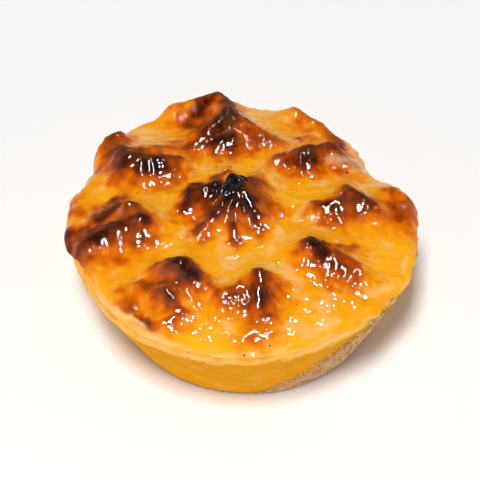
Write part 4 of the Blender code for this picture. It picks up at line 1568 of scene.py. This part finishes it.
@dataclass(frozen=True)
class Studio:
    """The pale table, the camera, a soft key light, two lights for the glints, and the room."""

    top: PipedTop = PipedTop()
    elevation: float = 46.5
    roll: float = -2.7
    distance: float = 400.0
    pixels_per_mm: float = 4.624
    frame_pixels: float = 480.0
    sensor: float = 36.0
    aim: tuple[float, float] = (3.0, -11.5)
    table_size: float = 4000.0
    overhead: Band = Band(0.15, 0.65, 1.05, 0.11)
    behind: Band = Band(-0.2, 0.6, 1.0, 0.6)

    def camera(self) -> None:
        """Sets up the camera, at the photograph's angle and distance from the middle of the rim."""
        data = bpy.data.cameras.new("camera")
        data.sensor_width = self.sensor
        data.lens = self.pixels_per_mm * self.distance / self.frame_pixels * self.sensor
        data.shift_x = -self.aim[0] / self.frame_pixels
        data.shift_y = self.aim[1] / self.frame_pixels
        data.clip_start = 10 * MM
        data.clip_end = 10.0
        lift = np.radians(self.elevation)
        tilt = np.radians(self.roll)
        right = Vector((1, 0, 0))
        up = Vector((0, np.sin(lift), np.cos(lift)))
        back = Vector((0, -np.cos(lift), np.sin(lift)))
        turned_right = np.cos(tilt) * right + np.sin(tilt) * up
        turned_up = np.cos(tilt) * up - np.sin(tilt) * right
        middle = self.top.middle()
        rim = Vector((-middle[0], -middle[1], self.top.cup.height)) * MM
        turn = Matrix((turned_right, turned_up, back)).transposed().to_4x4()
        camera = bpy.data.objects.new("camera", data)
        camera.matrix_world = Matrix.Translation(rim + back * self.distance * MM) @ turn
        bpy.context.scene.collection.objects.link(camera)
        bpy.context.scene.camera = camera

    def table(self) -> None:
        """Lays the plain pale table."""
        half = self.table_size / 2 * MM
        mesh = bpy.data.meshes.new("table")
        corners = [(-half, -half, 0), (half, -half, 0), (half, half, 0), (-half, half, 0)]
        mesh.from_pydata(corners, [], [(0, 1, 2, 3)])
        material = new_material("pale_table", {"Base Color": linear(Tone.TABLE), "Roughness": 0.8,
                                               "Specular IOR Level": 0.0})
        mesh.materials.append(material)
        table = bpy.data.objects.new("table", mesh)
        bpy.context.scene.collection.objects.link(table)

    def light(self, name: str, azimuth: float, elevation: float, distance: float,
              sides: tuple[float, float], power: float) -> bpy.types.Object:
        """Hangs a rectangular light that faces the tart.

        Args:
            name: the light's name.
            azimuth: where it hangs, seen from above.
            elevation: how high it hangs over the horizon.
            distance: how far from the tart, in metres.
            sides: how wide and how tall it is, in metres.
            power: its power, in watts.

        Returns:
            The light.
        """
        data = bpy.data.lights.new(name, "AREA")
        data.shape = "RECTANGLE"
        data.size, data.size_y = sides
        data.energy = power
        flat = turning(azimuth) * np.cos(np.radians(elevation))
        way = Vector((flat[0], flat[1], np.sin(np.radians(elevation))))
        lamp = bpy.data.objects.new(name, data)
        lamp.location = way * distance
        lamp.rotation_mode = "QUATERNION"
        lamp.rotation_quaternion = way.to_track_quat("Z", "Y")
        bpy.context.scene.collection.objects.link(lamp)
        return lamp

    def surroundings(self) -> None:
        """Sets the white room: bright near the floor, dim overhead and dimmer behind the tart."""
        world = bpy.data.worlds.new("room")
        world.use_nodes = True
        tree = world.node_tree
        way = add_node(tree, "SeparateXYZ", {0: add_node(tree, "TexCoord").outputs["Generated"]})
        up, back = (
            add_node(tree, "MapRange", {
                "Value": way.outputs[axis], "From Min": band.low, "From Max": band.high,
                "To Min": band.least, "To Max": band.most}, interpolation_type="SMOOTHSTEP")
            for axis, band in (("Z", self.overhead), ("Y", self.behind)))
        light = add_node(tree, "Math", {0: up, 1: back}, operation="MULTIPLY")
        feed(tree.nodes["Background"], {"Color": (1.0, 1.0, 1.0, 1.0), "Strength": light})
        bpy.context.scene.world = world

    def build(self) -> None:
        """Sets up everything round the tart."""
        self.camera()
        self.table()
        self.light("key", -102, 68, 1.6, (0.3, 0.45), 21.5).visible_glossy = False
        self.light("sparkle", -100, 68, 1.3, (0.1, 0.44), 36.0).visible_diffuse = False
        self.light("overhead_sparkle", 75, 82, 1.3, (0.26, 0.08), 10.0).visible_diffuse = False
        self.surroundings()
        bpy.context.scene.view_settings.view_transform = "Standard"


def main() -> None:
    """Builds the studio and the tart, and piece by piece."""
    logging.basicConfig(level=logging.INFO, format="%(name)s: %(message)s")
    Studio().build()
    dough = BakedDough().material()
    paste = BrownedPaste().material()
    burnt = BrownedPaste(name="charred_coconut_paste", coat=0.9, film=False).material()
    filling = CoconutFilling()
    PastryCup().build(dough)
    FlourGrains().build()
    filling.build(paste)
    CharredTail().build(burnt)
    Specks("char_specks", CHAR_SPECKS, 1.0, 0.6, 2, filling).build(burnt)
    Specks("glaze_blisters", BLISTERS, 0.22, 0.5, 4, filling).build(burnt)


if __name__ == "__main__":
    main()
